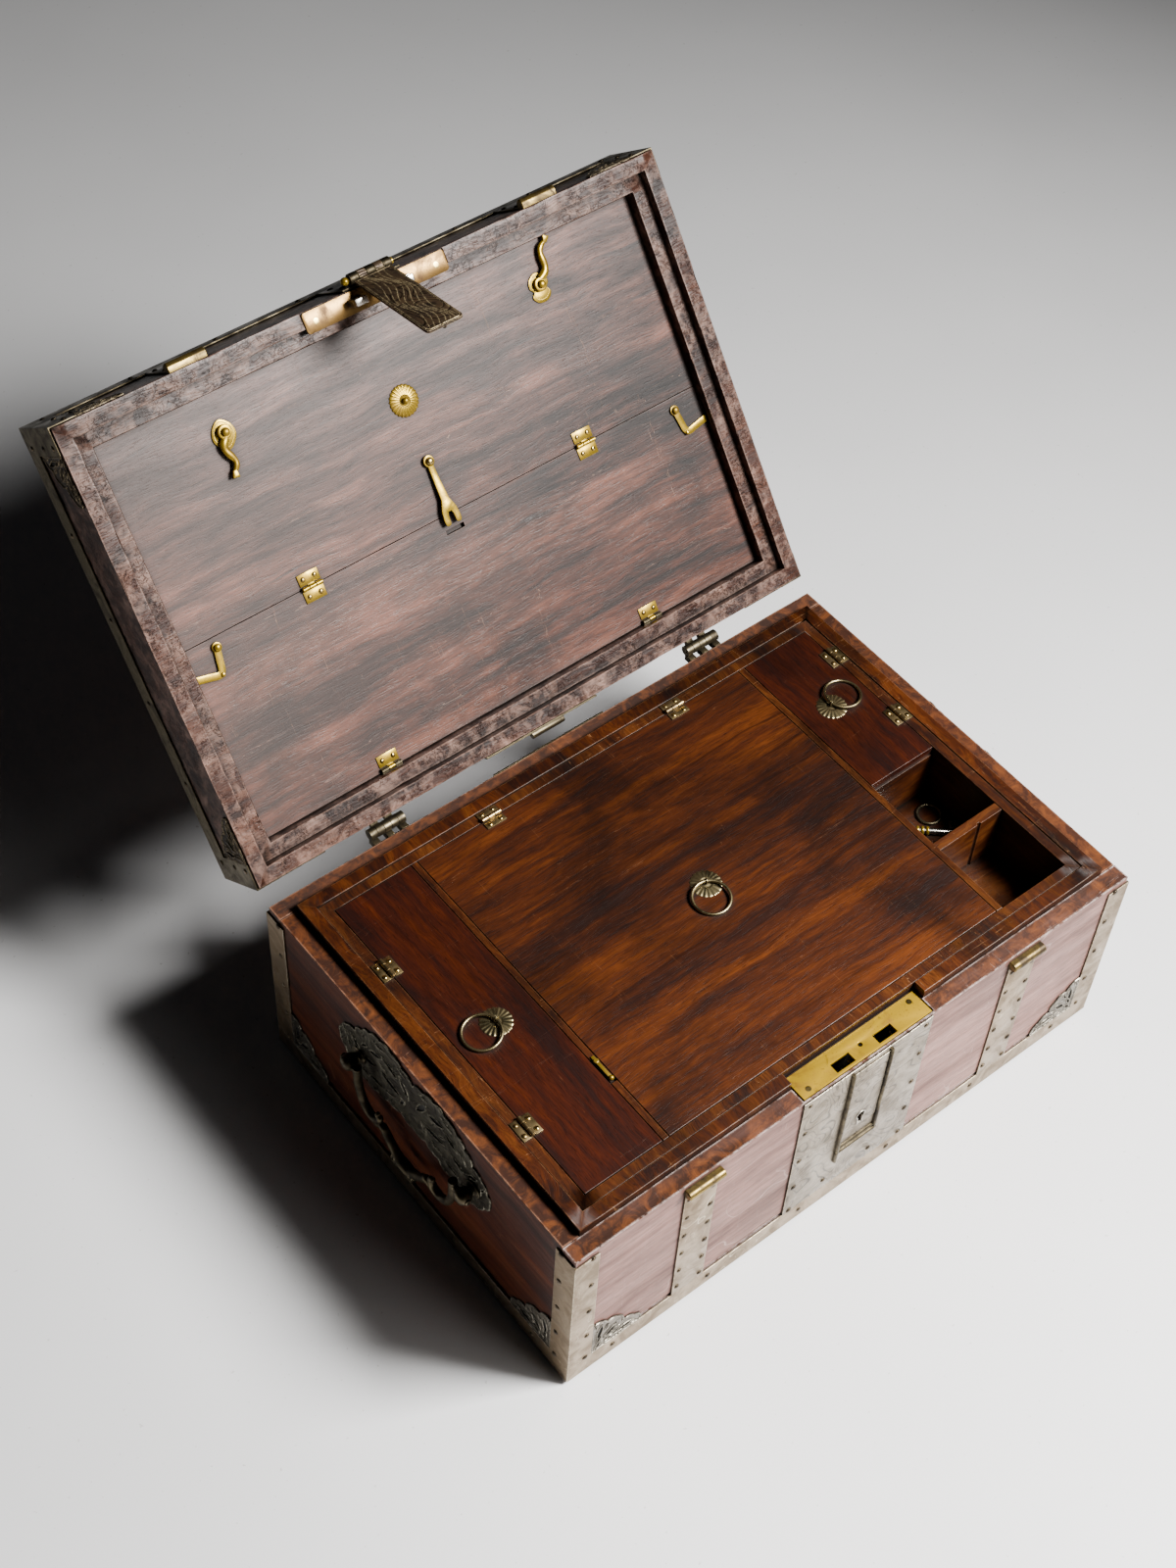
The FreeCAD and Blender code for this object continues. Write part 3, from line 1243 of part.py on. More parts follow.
def lid_pieces():
    """Every piece that swings with the lid, by node, laid out shut."""
    hasp_leaf, hasp_pin, hasp_flap = hasp_parts()
    recess = lid_front_rail_recess()
    rails = [rail.cut(recess) if i == 0 else rail for i, rail in enumerate(lid_rails())]
    return {
        "lid_board": lid_board(),
        "lid_rails": rails,
        "lid_inner_frame": lid_inner_frame() + leaf_ledges(),
        "lid_bands": lid_bands(),
        "lid_corner_mounts": lid_mounts(),
        "lid_straps": lid_straps(),
        "lid_hinges": lid_hinges() + [lid_centre_plate()],
        "strike_plate": strike_plate(),
        "lid_nails": lid_nails(),
        "hasp_hinge_leaf": hasp_leaf,
        "hasp_pin": hasp_pin,
        "hasp_flap": hasp_flap,
        "lower_leaf": lower_leaf(),
        "upper_leaf": upper_leaf(),
        "lower_leaf_fittings": lower_leaf_hinges() + latch_screws(),
        "upper_leaf_fittings": upper_leaf_fittings(),
        "left_hook": swan_hook("left"),
        "right_hook": swan_hook("right"),
        "left_latch": side_latch("left"),
        "right_latch": side_latch("right"),
        "fork_screw": fork_screw(),
        "fork_lever": fork_lever(),
    }


def laid_out():
    """All nodes with the lid open, before the move to the row's origin."""
    nodes = {name: as_list(piece) for name, piece in body_pieces().items()}
    for name, piece in lid_pieces().items():
        nodes[name] = [opened(shape) for shape in as_list(piece)]
    return nodes


def depth_shift(nodes):
    """The move along Y that centres the whole outline on the origin."""
    bounds = Part.makeCompound([s for shapes in nodes.values() for s in shapes]).optimalBoundingBox(False)
    return -(bounds.YMin + bounds.YMax) / 2


NODES = laid_out()
SHIFT_Y = depth_shift(NODES)
os.makedirs("parts", exist_ok=True)
for node, shapes in NODES.items():
    moved = []
    for shape in shapes:
        for solid in shape.Solids:
            copy = solid.copy()
            copy.translate(Vector(SHIFT_X, SHIFT_Y, 0))
            moved.append(copy)
    whole = moved[0] if len(moved) == 1 else Part.makeCompound(moved)
    whole.exportStep(os.path.join("parts", node + ".step"))
print("nodes", len(NODES), "shift y", round(SHIFT_Y, 3))
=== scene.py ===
"""The looks of a brass-bound strongbox: worn hardwood, old brass and dark bronze.

Every place is worked out in the layout that the box is drawn in: millimetres from the front left
corner, with the lid shut. Layout turns such a place into metres in the frame, with the lid open.
"""

import json
import logging
import math
from dataclasses import dataclass, field, replace
from enum import Enum
from typing import Callable, Iterable, Optional, Sequence

import bmesh
import bpy
from mathutils import Matrix, Vector, noise


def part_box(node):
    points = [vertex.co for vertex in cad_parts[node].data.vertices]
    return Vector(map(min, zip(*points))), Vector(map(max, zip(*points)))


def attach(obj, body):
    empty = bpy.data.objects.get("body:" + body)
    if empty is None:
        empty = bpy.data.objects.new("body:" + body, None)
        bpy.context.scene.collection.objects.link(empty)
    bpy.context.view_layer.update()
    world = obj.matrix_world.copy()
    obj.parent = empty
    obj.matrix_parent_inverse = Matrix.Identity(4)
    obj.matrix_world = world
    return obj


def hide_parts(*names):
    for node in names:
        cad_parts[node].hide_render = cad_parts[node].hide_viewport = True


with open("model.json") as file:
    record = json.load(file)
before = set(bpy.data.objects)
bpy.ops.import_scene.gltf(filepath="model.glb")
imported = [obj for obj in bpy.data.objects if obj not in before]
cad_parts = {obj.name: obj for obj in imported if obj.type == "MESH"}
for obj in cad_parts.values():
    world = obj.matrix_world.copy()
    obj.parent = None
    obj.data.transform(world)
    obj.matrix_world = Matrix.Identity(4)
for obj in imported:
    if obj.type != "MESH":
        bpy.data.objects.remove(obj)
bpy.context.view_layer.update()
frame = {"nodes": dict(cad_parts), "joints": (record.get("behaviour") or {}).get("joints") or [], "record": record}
LOG = logging.getLogger("strongbox")
MM = 0.001
UP = Vector((0, 0, 1))

Point = Sequence[float]
Socket = bpy.types.NodeSocket
Mesh = bpy.types.Mesh
SOCKET_TYPES = {float: "NodeSocketFloat", int: "NodeSocketInt", tuple: "NodeSocketVector"}

# The drawing's driving dimensions in millimetres
WIDTH = 450.0
DEPTH = 308.0
FOOT = 3.0
RIM = 154.0
LID_BOTTOM = 154.4
LID_TOP = 206.6
TRAY_TOP = 159.0
LEAF_FACE = 169.4
SHEET = 1.2
LOCK_CENTRE = 226.6
HASP_Y = -5.6
HASP_Z = 155.0
HASP_LEAN = 28.0


class Part(Enum):
    """The two halves that a fitting can belong to."""

    BOX = "box"
    LID = "lid"


class Grain(Enum):
    """The way that a board's grain runs, as the stretch of its pattern."""

    ALONG_X = (0.09, 1.0, 1.0)
    ALONG_Y = (1.0, 0.09, 1.0)


class Side(Enum):
    """The upright sides of the box, each with the way along it, its outward way and its corner."""

    FRONT = ((1, 0, 0), (0, -1, 0), (0, 0, 0), WIDTH)
    RIGHT = ((0, 1, 0), (1, 0, 0), (WIDTH, 0, 0), DEPTH)
    BACK = ((-1, 0, 0), (0, 1, 0), (WIDTH, DEPTH, 0), WIDTH)
    LEFT = ((0, -1, 0), (-1, 0, 0), (0, DEPTH, 0), DEPTH)

    @property
    def span(self) -> float:
        """The side's length."""
        return self.value[3]

    def place(self, u: float = 0.0, v: float = 0.0) -> Matrix:
        """A flat frame on the side, with u along it, v up and its third axis outward."""
        basis = Matrix((self.value[0], UP, self.value[1])).transposed().to_4x4()
        return Matrix.Translation(self.value[2]) @ basis @ Matrix.Translation((u, v, 0))


@dataclass(frozen=True)
class Layout:
    """Where the drawn box stands in the frame, and how far its lid is open."""

    origin: Vector
    hinge: Vector
    opening: float

    @classmethod
    def from_frame(cls) -> "Layout":
        """Reads the corner of the front board and the lid's hinge.

        Returns:
            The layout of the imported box.
        """
        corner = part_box("front_board")[0] - Vector((0, 0, FOOT * MM))
        joint = next(j for j in frame["joints"] if j["child"] == "lid")
        return cls(corner, Vector(joint["pos_m"]), math.radians(-joint["range_deg"][0]))

    def matrix(self, part: Part) -> Matrix:
        """Millimetres of the drawing into metres of the frame.

        Args:
            part: The half that the place belongs to.

        Returns:
            The transform of that half.
        """
        place = Matrix.Translation(self.origin) @ Matrix.Scale(MM, 4)
        if part is Part.BOX:
            return place
        about = Matrix.Translation(self.hinge)
        swing = Matrix.Rotation(-self.opening, 4, "X")
        return about @ swing @ about.inverted() @ place


LAYOUT = Layout.from_frame()


def arc(centre: Point, radius: float, start: float, end: float, count: int) -> list:
    """Points along a flat arc between two angles in degrees, in count steps, with both ends."""
    angles = [math.radians(start + (end - start) * i / count) for i in range(count + 1)]
    return [(centre[0] + radius * math.cos(a), centre[1] + radius * math.sin(a)) for a in angles]


def circle(centre: Point, radius: float, count: int) -> list:
    """Points round a flat circle."""
    return arc(centre, radius, 0, 360, count)[:-1]


def flowing(points: Sequence[Point], steps: int = 8, closed: bool = False) -> list:
    """A smooth line through its points.

    Args:
        points: The points.
        steps: How many steps each stretch has.
        closed: Whether the line runs round.

    Returns:
        The line's points as vectors.
    """
    through = [Vector(p) for p in points]
    count = len(through)
    line = []
    for i in range(count if closed else count - 1):
        if closed:
            a, b, c, d = (through[(i + k) % count] for k in (-1, 0, 1, 2))
        else:
            a, b, c, d = (through[min(max(i + k, 0), count - 1)] for k in (-1, 0, 1, 2))
        for k in range(steps):
            s = k / steps
            line.append(0.5 * (2 * b + (c - a) * s + (2 * a - 5 * b + 4 * c - d) * s * s
                               + (3 * b - 3 * c + d - a) * s ** 3))
    return line if closed else line + [through[-1]]


def lobed(points: Sequence[Point], bulge: float, steps: int = 6) -> list:
    """An outline whose every side swells outward as an arc.

    Args:
        points: The outline's corners, anticlockwise.
        bulge: The swell as a share of the side.
        steps: How many steps each side has.

    Returns:
        The outline.
    """
    outline = []
    for i, (x0, y0) in enumerate(points):
        x1, y1 = points[(i + 1) % len(points)]
        for k in range(steps):
            s = k / steps
            swell = bulge * 4 * s * (1 - s)
            outline.append((x0 + (x1 - x0) * s + (y1 - y0) * swell, y0 + (y1 - y0) * s - (x1 - x0) * swell))
    return outline


def leaf_outline(x: float, y: float, length: float, width: float, turn: float) -> list:
    """A pointed outline with two bent sides about x and y, turned by degrees, as in pierced foliage."""
    way = Vector((math.cos(math.radians(turn)), math.sin(math.radians(turn)))) * length / 2
    return lobed([(x - way.x, y - way.y), (x + way.x, y + way.y)], width / length / 2, 7)


def ribbon(path: Sequence[Point], half: float, steps: int = 6) -> list:
    """The outline of a flat bar with round ends along a path.

    Args:
        path: The middle of the bar.
        half: Half its width.
        steps: How many steps each round end has.

    Returns:
        The outline.
    """
    points = [Vector(p).to_2d() for p in path]
    left, right = [], []
    for i, here in enumerate(points):
        before = points[max(i - 1, 0)]
        after = points[min(i + 1, len(points) - 1)]
        first = (here - before).normalized() if i else (after - here).normalized()
        second = (after - here).normalized() if i < len(points) - 1 else first
        middle = (first + second).normalized()
        reach = half / max(middle.dot(first), 0.4)
        across = Vector((-middle.y, middle.x)) * reach
        left.append(tuple(here + across))
        right.append(tuple(here - across))
    end, start = points[-1] - points[-2], points[0] - points[1]
    ahead, back = (math.degrees(math.atan2(v.y, v.x)) for v in (end, start))
    far = arc(points[-1], half, ahead - 90, ahead + 90, steps)[1:-1]
    near = arc(points[0], half, back - 90, back + 90, steps)[1:-1]
    return right + far + left[::-1] + near


class Drawing:
    """A mesh drawn in millimetres, piece by piece, in a flat frame that can be moved."""

    def __init__(self, part: Part, place: Optional[Matrix] = None) -> None:
        """Starts an empty drawing.

        Args:
            part: The half that it belongs to.
            place: The first frame, from its own millimetres into the drawing's.
        """
        self.form = bmesh.new()
        self.part = part
        self.place = place or Matrix.Identity(4)

    def at(self, place: Matrix) -> "Drawing":
        """Moves the frame and gives back the drawing."""
        self.place = place
        return self

    def skin(self, rings: Sequence[Sequence[Point]], closed: bool = False) -> None:
        """Skins rings with the same count of points, and closes both ends.

        Args:
            rings: The rings.
            closed: Whether the last ring joins the first.
        """
        made = [[self.form.verts.new(self.place @ Vector(p)) for p in ring] for ring in rings]
        pairs = list(zip(made, made[1:])) + ([(made[-1], made[0])] if closed else [])
        for low, high in pairs:
            for i in range(len(low)):
                n = (i + 1) % len(low)
                self.form.faces.new((low[i], low[n], high[n], high[i]))
        if not closed:
            self.form.faces.new(made[0][::-1])
            self.form.faces.new(made[-1])

    def lathe(self, profile: Sequence[Point], centre: Point = (0, 0, 0), axis: Point = (0, 0, 1),
              sides: int = 24) -> None:
        """A turned form.

        Args:
            profile: Pairs of a radius and a height along the axis.
            centre: Where the heights start.
            axis: The axis.
            sides: How many sides it has.
        """
        turn = Vector(axis).to_track_quat("Z", "Y").to_matrix()
        rings = []
        for radius, height in profile:
            ring = circle((0, 0), radius, sides)
            rings.append([Vector(centre) + turn @ Vector((x, y, height)) for x, y in ring])
        self.skin(rings)

    def tube(self, path: Sequence[Point], radii: object, sides: int = 12, closed: bool = False,
             flat: float = 1.0, upright: Point = (0, 0, 1)) -> None:
        """A bar along a path.

        Args:
            path: Its middle line.
            radii: One radius, or one for each point.
            sides: How many sides it has.
            closed: Whether it runs round.
            flat: Its height as a share of its width.
            upright: The way that its height is measured.
        """
        points = [Vector(p) for p in path]
        count = len(points)
        wide = list(radii) if isinstance(radii, (list, tuple)) else [radii] * count
        rings = []
        normal = Vector(upright)
        for i, here in enumerate(points):
            before = points[i - 1] if closed or i else here
            after = points[(i + 1) % count] if closed or i < count - 1 else here
            way = (after - before).normalized()
            normal = (normal - way * normal.dot(way)).normalized()
            side = way.cross(normal)
            ring = circle((0, 0), wide[i], sides)
            rings.append([here + side * x + normal * (y * flat) for x, y in ring])
        self.skin(rings, closed)

    def slab(
            self, outline: Sequence[Point], low: float, high: float, holes: Iterable = (),
            ease: float = 0.25, bend: Optional[Callable[[float, float], float]] = None) -> None:
        """A plate of any outline, with holes and eased edges.

        Args:
            outline: Its outline.
            low: The height of its underside.
            high: The height of its top.
            holes: The outlines of its holes.
            ease: The width of its eased edges.
            bend: What a place's height gains.
        """
        plate = bmesh.new()
        for loop in (outline, *holes):
            corners = [plate.verts.new((x, y, low)) for x, y in loop]
            for i, corner in enumerate(corners):
                plate.edges.new((corner, corners[(i + 1) % len(corners)]))
        rim = list(plate.edges)
        bmesh.ops.triangle_fill(plate, use_beauty=True, use_dissolve=False, edges=rim)
        grown = bmesh.ops.extrude_face_region(plate, geom=list(plate.faces))["geom"]
        for vert in (item for item in grown if isinstance(item, bmesh.types.BMVert)):
            vert.co.z = high
        bmesh.ops.recalc_face_normals(plate, faces=plate.faces)
        if ease:
            sharp = [e for e in plate.edges if len(e.link_faces) == 2
                     and abs(e.calc_face_angle(0.0) - math.pi / 2) < 0.1
                     and abs(e.verts[0].co.z - e.verts[1].co.z) < 1e-6]
            bmesh.ops.bevel(
                plate, geom=sharp, offset=ease, segments=2, profile=0.5, affect="EDGES", clamp_overlap=True)
        for vert in plate.verts:
            if bend:
                vert.co.z += bend(vert.co.x, vert.co.y)
            vert.co = self.place @ vert.co
        self.take(plate)

    def washer(
            self, centre: Point, radius: float, hole: float, low: float, high: float, ease: float) -> None:
        """A round plate with a round hole."""
        self.slab(circle(centre, radius, 28), low, high, [circle(centre, hole, 16)], ease)

    def block(self, low: Point, high: Point, ease: float = 0.25) -> None:
        """A block with eased edges.

        Args:
            low: Its lowest corner.
            high: Its highest corner.
            ease: The width of its eased edges.
        """
        cube = bmesh.new()
        bmesh.ops.create_cube(cube, size=1.0)
        low, high = Vector(low), Vector(high)
        for vert in cube.verts:
            vert.co = Vector(low[k] + (high[k] - low[k]) * (vert.co[k] + 0.5) for k in range(3))
        if ease:
            bmesh.ops.bevel(
                cube, geom=list(cube.edges), offset=ease, segments=2, profile=0.5, affect="EDGES")
        bmesh.ops.transform(cube, matrix=self.place, verts=cube.verts)
        self.take(cube)

    def take(self, other: bmesh.types.BMesh) -> None:
        """Takes in another form and frees it.

        Args:
            other: The form.
        """
        mesh = bpy.data.meshes.new("carried")
        other.to_mesh(mesh)
        other.free()
        self.form.from_mesh(mesh)
        bpy.data.meshes.remove(mesh)

    def finish(self) -> Mesh:
        """The finished mesh, in metres in the frame.

        Returns:
            The mesh.
        """
        bmesh.ops.remove_doubles(self.form, verts=self.form.verts, dist=1e-4)
        bmesh.ops.recalc_face_normals(self.form, faces=self.form.faces)
        bmesh.ops.transform(self.form, matrix=LAYOUT.matrix(self.part), verts=self.form.verts)
        mesh = bpy.data.meshes.new("drawn")
        self.form.to_mesh(mesh)
        self.form.free()
        return mesh


class Tree:
    """A short way to write the nodes of one tree."""

    def __init__(self, tree: bpy.types.NodeTree) -> None:
        """Keeps the tree that nodes are added to."""
        self.tree = tree

    def add(self, kind: str, inputs: Optional[dict] = None, **settings: object) -> bpy.types.Node:
        """Adds one node.

        Args:
            kind: The node's type.
            inputs: Values or sockets by input name or number.
            settings: The node's own properties.

        Returns:
            The new node.
        """
        node = self.tree.nodes.new(kind)
        for name, value in settings.items():
            setattr(node, name, value)
        for name, value in (inputs or {}).items():
            if isinstance(value, Socket):
                self.tree.links.new(value, node.inputs[name])
            else:
                node.inputs[name].default_value = value
        return node

    def group(self, inner: bpy.types.NodeTree, place: Socket, **values: object) -> object:
        """Adds a group on the object's coordinates.

        Args:
            inner: The group's tree.
            place: The coordinates' socket.
            values: Values of its inputs, with underscores for spaces.

        Returns:
            The group's outputs.
        """
        node = self.add("ShaderNodeGroup", node_tree=inner)
        self.tree.links.new(place, node.inputs["Coordinates"])
        for name, value in values.items():
            node.inputs[name.replace("_", " ")].default_value = value
        return node.outputs

    def math(self, operation: str, a: object, b: object = 0.0, clamp: bool = False) -> Socket:
        """Adds one sum of two values or sockets, kept between 0 and 1 if it is clamped."""
        node = self.add("ShaderNodeMath", {0: a, 1: b}, operation=operation, use_clamp=clamp)
        return node.outputs[0]

    def times(self, a: object, b: object, clamp: bool = False) -> Socket:
        """One value times another."""
        return self.math("MULTIPLY", a, b, clamp)

    def plus(self, a: object, b: object, clamp: bool = False) -> Socket:
        """One value plus another."""
        return self.math("ADD", a, b, clamp)

    def minus(self, a: object, b: object, clamp: bool = False) -> Socket:
        """One value less another."""
        return self.math("SUBTRACT", a, b, clamp)

    def give(self, node: bpy.types.Node, **sockets: Socket) -> None:
        """Links sockets to a node's inputs, with underscores for spaces in their names."""
        for name, socket in sockets.items():
            self.tree.links.new(socket, node.inputs[name.replace("_", " ")])

    def mix(self, factor: object, a: object, b: object, blend: str = "MIX") -> Socket:
        """Mixes two colours.

        Args:
            factor: How much of the second colour.
            a: The first colour or socket.
            b: The second colour or socket.
            blend: The way of mixing.

        Returns:
            The mixed colour's socket.
        """
        node = self.add("ShaderNodeMix", data_type="RGBA", blend_type=blend)
        for index, value in ((0, factor), (6, a), (7, b)):
            if isinstance(value, Socket):
                self.tree.links.new(value, node.inputs[index])
            elif index == 0:
                node.inputs[index].default_value = value
            else:
                node.inputs[index].default_value = (*value, 1.0)
        return node.outputs[2]

    def span(self, value: object, low: float, high: float, to_low: float = 0.0,
             to_high: float = 1.0) -> object:
        """Stretches a value from the span low to high onto the span to_low to to_high, clamped."""
        inputs = {"Value": value, "From Min": low, "From Max": high, "To Min": to_low, "To Max": to_high}
        return self.add("ShaderNodeMapRange", inputs).outputs["Result"]

    def noise(self, vector: object, scale: object, detail: float = 3.0, rough: float = 0.55,
              distortion: float = 0.0) -> Socket:
        """Adds a noise pattern: detail is its count of finer layers, and rough is their strength."""
        inputs = {
            "Vector": vector, "Scale": scale, "Detail": detail, "Roughness": rough, "Distortion": distortion}
        return self.add("ShaderNodeTexNoise", inputs).outputs["Fac"]

    def ramp(self, value: object, stops: Sequence[tuple]) -> Socket:
        """Turns a value into colours.

        Args:
            value: The value's socket.
            stops: Pairs of a place from 0 to 1 and a colour.

        Returns:
            The colour's socket.
        """
        node = self.add("ShaderNodeValToRGB", {"Fac": value})
        elements = node.color_ramp.elements
        while len(elements) < len(stops):
            elements.new(0.5)
        for element, (place, colour) in zip(elements, stops):
            element.position = place
            element.color = (*colour, 1.0)
        return node.outputs["Color"]


def new_group(name: str, inputs: dict, outputs: Sequence[str], kind: str = "ShaderNodeTree") -> tuple:
    """Starts a node group with named sockets.

    Args:
        name: The group's name.
        inputs: The default value of each input, or the name of its socket type.
        outputs: The names of its outputs.
        kind: The type of its tree.

    Returns:
        The group, its tree helper, the sockets of its inputs and its output node.
    """
    group = bpy.data.node_groups.new(name, kind)
    for label, value in inputs.items():
        socket_type = SOCKET_TYPES.get(type(value), value)
        socket = group.interface.new_socket(name=label, in_out="INPUT", socket_type=socket_type)
        if socket_type is not value:
            socket.default_value = value
    given = "NodeSocketGeometry" if kind.startswith("Geometry") else "NodeSocketFloat"
    for label in outputs:
        group.interface.new_socket(name=label, in_out="OUTPUT", socket_type=given)
    tree = Tree(group)
    return group, tree, tree.add("NodeGroupInput").outputs, tree.add("NodeGroupOutput")


def kept(value: object) -> object:
    """A dataclass field whose default is a list or a dict that nothing changes."""
    return field(default_factory=lambda: value)


class Effects:
    """The shader groups that more than one finish uses, each built once."""

    def __init__(self) -> None:
        """Builds all groups."""
        self.figure = self.build_figure()
        self.wear = self.build_wear_and_shade()
        self.patina = self.build_patina()
        self.scratches = self.build_scratches()
        self.engraving = self.build_engraving()

    @staticmethod
    def build_figure() -> bpy.types.NodeTree:
        """The figure of wood: bands, fibres, pores, streaks and stains.

        Returns:
            The group.
        """
        group, tree, source, sink = new_group(
            "wood figure",
            {"Coordinates": "NodeSocketVector", "Stretch": (0.1, 1.0, 1.0), "Scale": 90.0, "Burl": 0.0},
            ("Bands", "Fibres", "Pores", "Streaks", "Stains"),
        )
        place, stretch, scale, burl = (source[n] for n in ("Coordinates", "Stretch", "Scale", "Burl"))
        curl = tree.add(
            "ShaderNodeTexNoise", {"Vector": place, "Scale": 16.0, "Detail": 3.0}).outputs["Color"]
        centred = tree.add(
            "ShaderNodeVectorMath", {0: curl, 1: (0.5, 0.5, 0.5)}, operation="SUBTRACT").outputs[0]
        reach = tree.plus(0.006, tree.times(burl, 0.03))
        sway = tree.add("ShaderNodeVectorMath", {0: centred, "Scale": reach}, operation="SCALE").outputs[0]
        swayed = tree.add("ShaderNodeVectorMath", {0: place, 1: sway}, operation="ADD").outputs[0]
        drawn = tree.add("ShaderNodeVectorMath", {0: swayed, 1: stretch}, operation="MULTIPLY").outputs[0]
        broad = tree.noise(drawn, tree.times(scale, 0.5), 4.0, 0.55, 0.6)
        fine = tree.noise(drawn, tree.times(scale, 2.4), 5.0, 0.65, 0.3)
        hair = tree.noise(drawn, tree.times(scale, 9.0), 3.0, 0.6)
        bands = tree.plus(tree.times(broad, 0.6), tree.times(fine, 0.4))
        pores = tree.span(tree.noise(drawn, tree.times(scale, 13.0), 2.0), 0.56, 0.7)
        streaks = tree.span(tree.noise(drawn, tree.times(scale, 1.1), 3.0, 0.6, 0.5), 0.58, 0.7)
        stains = tree.noise(place, 9.0, 5.0, 0.62, 0.5)
        tree.give(sink, Bands=bands, Fibres=hair, Pores=pores, Streaks=streaks, Stains=stains)
        return group

    @staticmethod
    def build_wear_and_shade() -> bpy.types.NodeTree:
        """Worn edges, and grime and painted shade in occluded corners and gaps.

        Returns:
            The group.
        """
        group, tree, source, sink = new_group(
            "edge wear grime and shade",
            {"Coordinates": "NodeSocketVector", "Radius": 0.0015, "Break Up": 160.0, "Reach": 0.006},
            ("Wear", "Dirt"),
        )
        rounded = tree.add("ShaderNodeBevel", {"Radius": source["Radius"]}, samples=4)
        flat = tree.add("ShaderNodeNewGeometry").outputs["Normal"]
        along = tree.add(
            "ShaderNodeVectorMath", {0: rounded.outputs["Normal"], 1: flat}, operation="DOT_PRODUCT")
        bend = tree.minus(1.0, along.outputs["Value"])
        broken = tree.noise(source["Coordinates"], source["Break Up"], 4.0, 0.7)
        wear = tree.times(tree.span(bend, 0.004, 0.07), tree.span(broken, 0.36, 0.56), clamp=True)
        # Ambient occlusion marks corners and gaps where shade falls; the finishes darken them there as painted
        # shade and grime.
        shade = tree.add("ShaderNodeAmbientOcclusion", {"Distance": source["Reach"]}, samples=4)
        grime_and_shade = tree.span(shade.outputs["AO"], 0.3, 0.95, 1.0, 0.0)
        tree.give(sink, Wear=wear, Dirt=grime_and_shade)
        return group

    @staticmethod
    def build_patina() -> bpy.types.NodeTree:
        """The mottled tarnish of old brass.

        Returns:
            The group.
        """
        group, tree, source, sink = new_group(
            "patina",
            {"Coordinates": "NodeSocketVector", "Scale": 60.0}, ("Mottle", "Specks", "Dents", "Blotches"),
        )
        place, scale = source["Coordinates"], source["Scale"]
        mottle = tree.noise(place, scale, 6.0, 0.65, 0.6)
        specks = tree.span(tree.noise(place, tree.times(scale, 9.0), 3.0, 0.6), 0.6, 0.72)
        dents = tree.noise(place, tree.times(scale, 2.5), 2.0, 0.4)
        blotches = tree.span(tree.noise(place, tree.times(scale, 1.7), 5.0, 0.7, 1.2), 0.6, 0.68)
        tree.give(sink, Mottle=mottle, Specks=specks, Dents=dents, Blotches=blotches)
        return group

    @staticmethod
    def build_scratches() -> bpy.types.NodeTree:
        """Fine scratches that cross the surface in two ways.

        Returns:
            The group.
        """
        group, tree, source, sink = new_group(
            "scratches",
            {"Coordinates": "NodeSocketVector", "Scale": 18.0}, ("Scratches",),
        )
        total: object = 0.0
        for turn, stretch in ((0.5, (1.0, 26.0, 1.0)), (-0.9, (22.0, 1.0, 1.0))):
            mapped = tree.add("ShaderNodeMapping", {
                "Vector": source["Coordinates"], "Rotation": (turn * 0.4, turn * 0.3,
                                                              turn), "Scale": stretch,
            }).outputs["Vector"]
            lines = tree.noise(mapped, source["Scale"], 2.0, 0.5, 0.2)
            near = tree.math("ABSOLUTE", tree.minus(lines, 0.5))
            line = tree.span(near, 0.0, 0.005, 1.0, 0.0)
            spots = tree.span(tree.noise(mapped, tree.times(source["Scale"], 0.35), 1.0), 0.58, 0.68)
            total = tree.plus(total, tree.times(line, spots), clamp=True)
        tree.give(sink, Scratches=total)
        return group

    @staticmethod
    def build_engraving() -> bpy.types.NodeTree:
        """Thin flowing lines, one inside the other, as an engraver's scrolls.

        Returns:
            The group.
        """
        group, tree, source, sink = new_group(
            "engraving",
            {"Coordinates": "NodeSocketVector", "Scale": 26.0, "Lines": 9.0, "Width": 0.12}, ("Cut",),
        )
        place, scale, lines, width = (source[n] for n in ("Coordinates", "Scale", "Lines", "Width"))
        swirl = tree.noise(place, scale, 0.0, 0.4, 1.6)
        rings = tree.math("FRACT", tree.times(swirl, lines))
        near = tree.math("ABSOLUTE", tree.minus(rings, 0.5))
        cut = tree.minus(1.0, tree.math("DIVIDE", near, width), clamp=True)
        broken = tree.span(tree.noise(place, 120.0, 2.0), 0.34, 0.5, 0.35, 1.0)
        tree.give(sink, Cut=tree.times(cut, broken))
        return group


EFFECTS = Effects()
# Near-black colours for occluded corners and gaps: painted shade together with grime.
GRIME_AND_SHADE_DARK = (0.012, 0.008, 0.006)
BRASS_GRIME_AND_SHADE = (0.012, 0.009, 0.006)
CRACK = (0.01, 0.007, 0.006)
BURL_DARK = (0.022, 0.008, 0.004)
BURL_LIGHT = (0.15, 0.044, 0.01)
RIM_HEIGHT = 0.1535
RIM_SOFTNESS = 0.0004


def started(name: str) -> tuple:
    """Starts a material.

    Args:
        name: The material's name.

    Returns:
        The material, its tree helper, its shader node and the object coordinates' socket.
    """
    material = bpy.data.materials.new(name)
    material.use_nodes = True
    tree = Tree(material.node_tree)
    shader = material.node_tree.nodes["Principled BSDF"]
    place = tree.add("ShaderNodeTexCoord").outputs["Object"]
    return material, tree, shader, place


def above(tree: Tree, place: Socket, height: float) -> object:
    """A mask of what stands above a height in metres, with a soft edge."""
    z = tree.add("ShaderNodeSeparateXYZ", {0: place}).outputs["Z"]
    return tree.span(z, height - RIM_SOFTNESS, height + RIM_SOFTNESS)


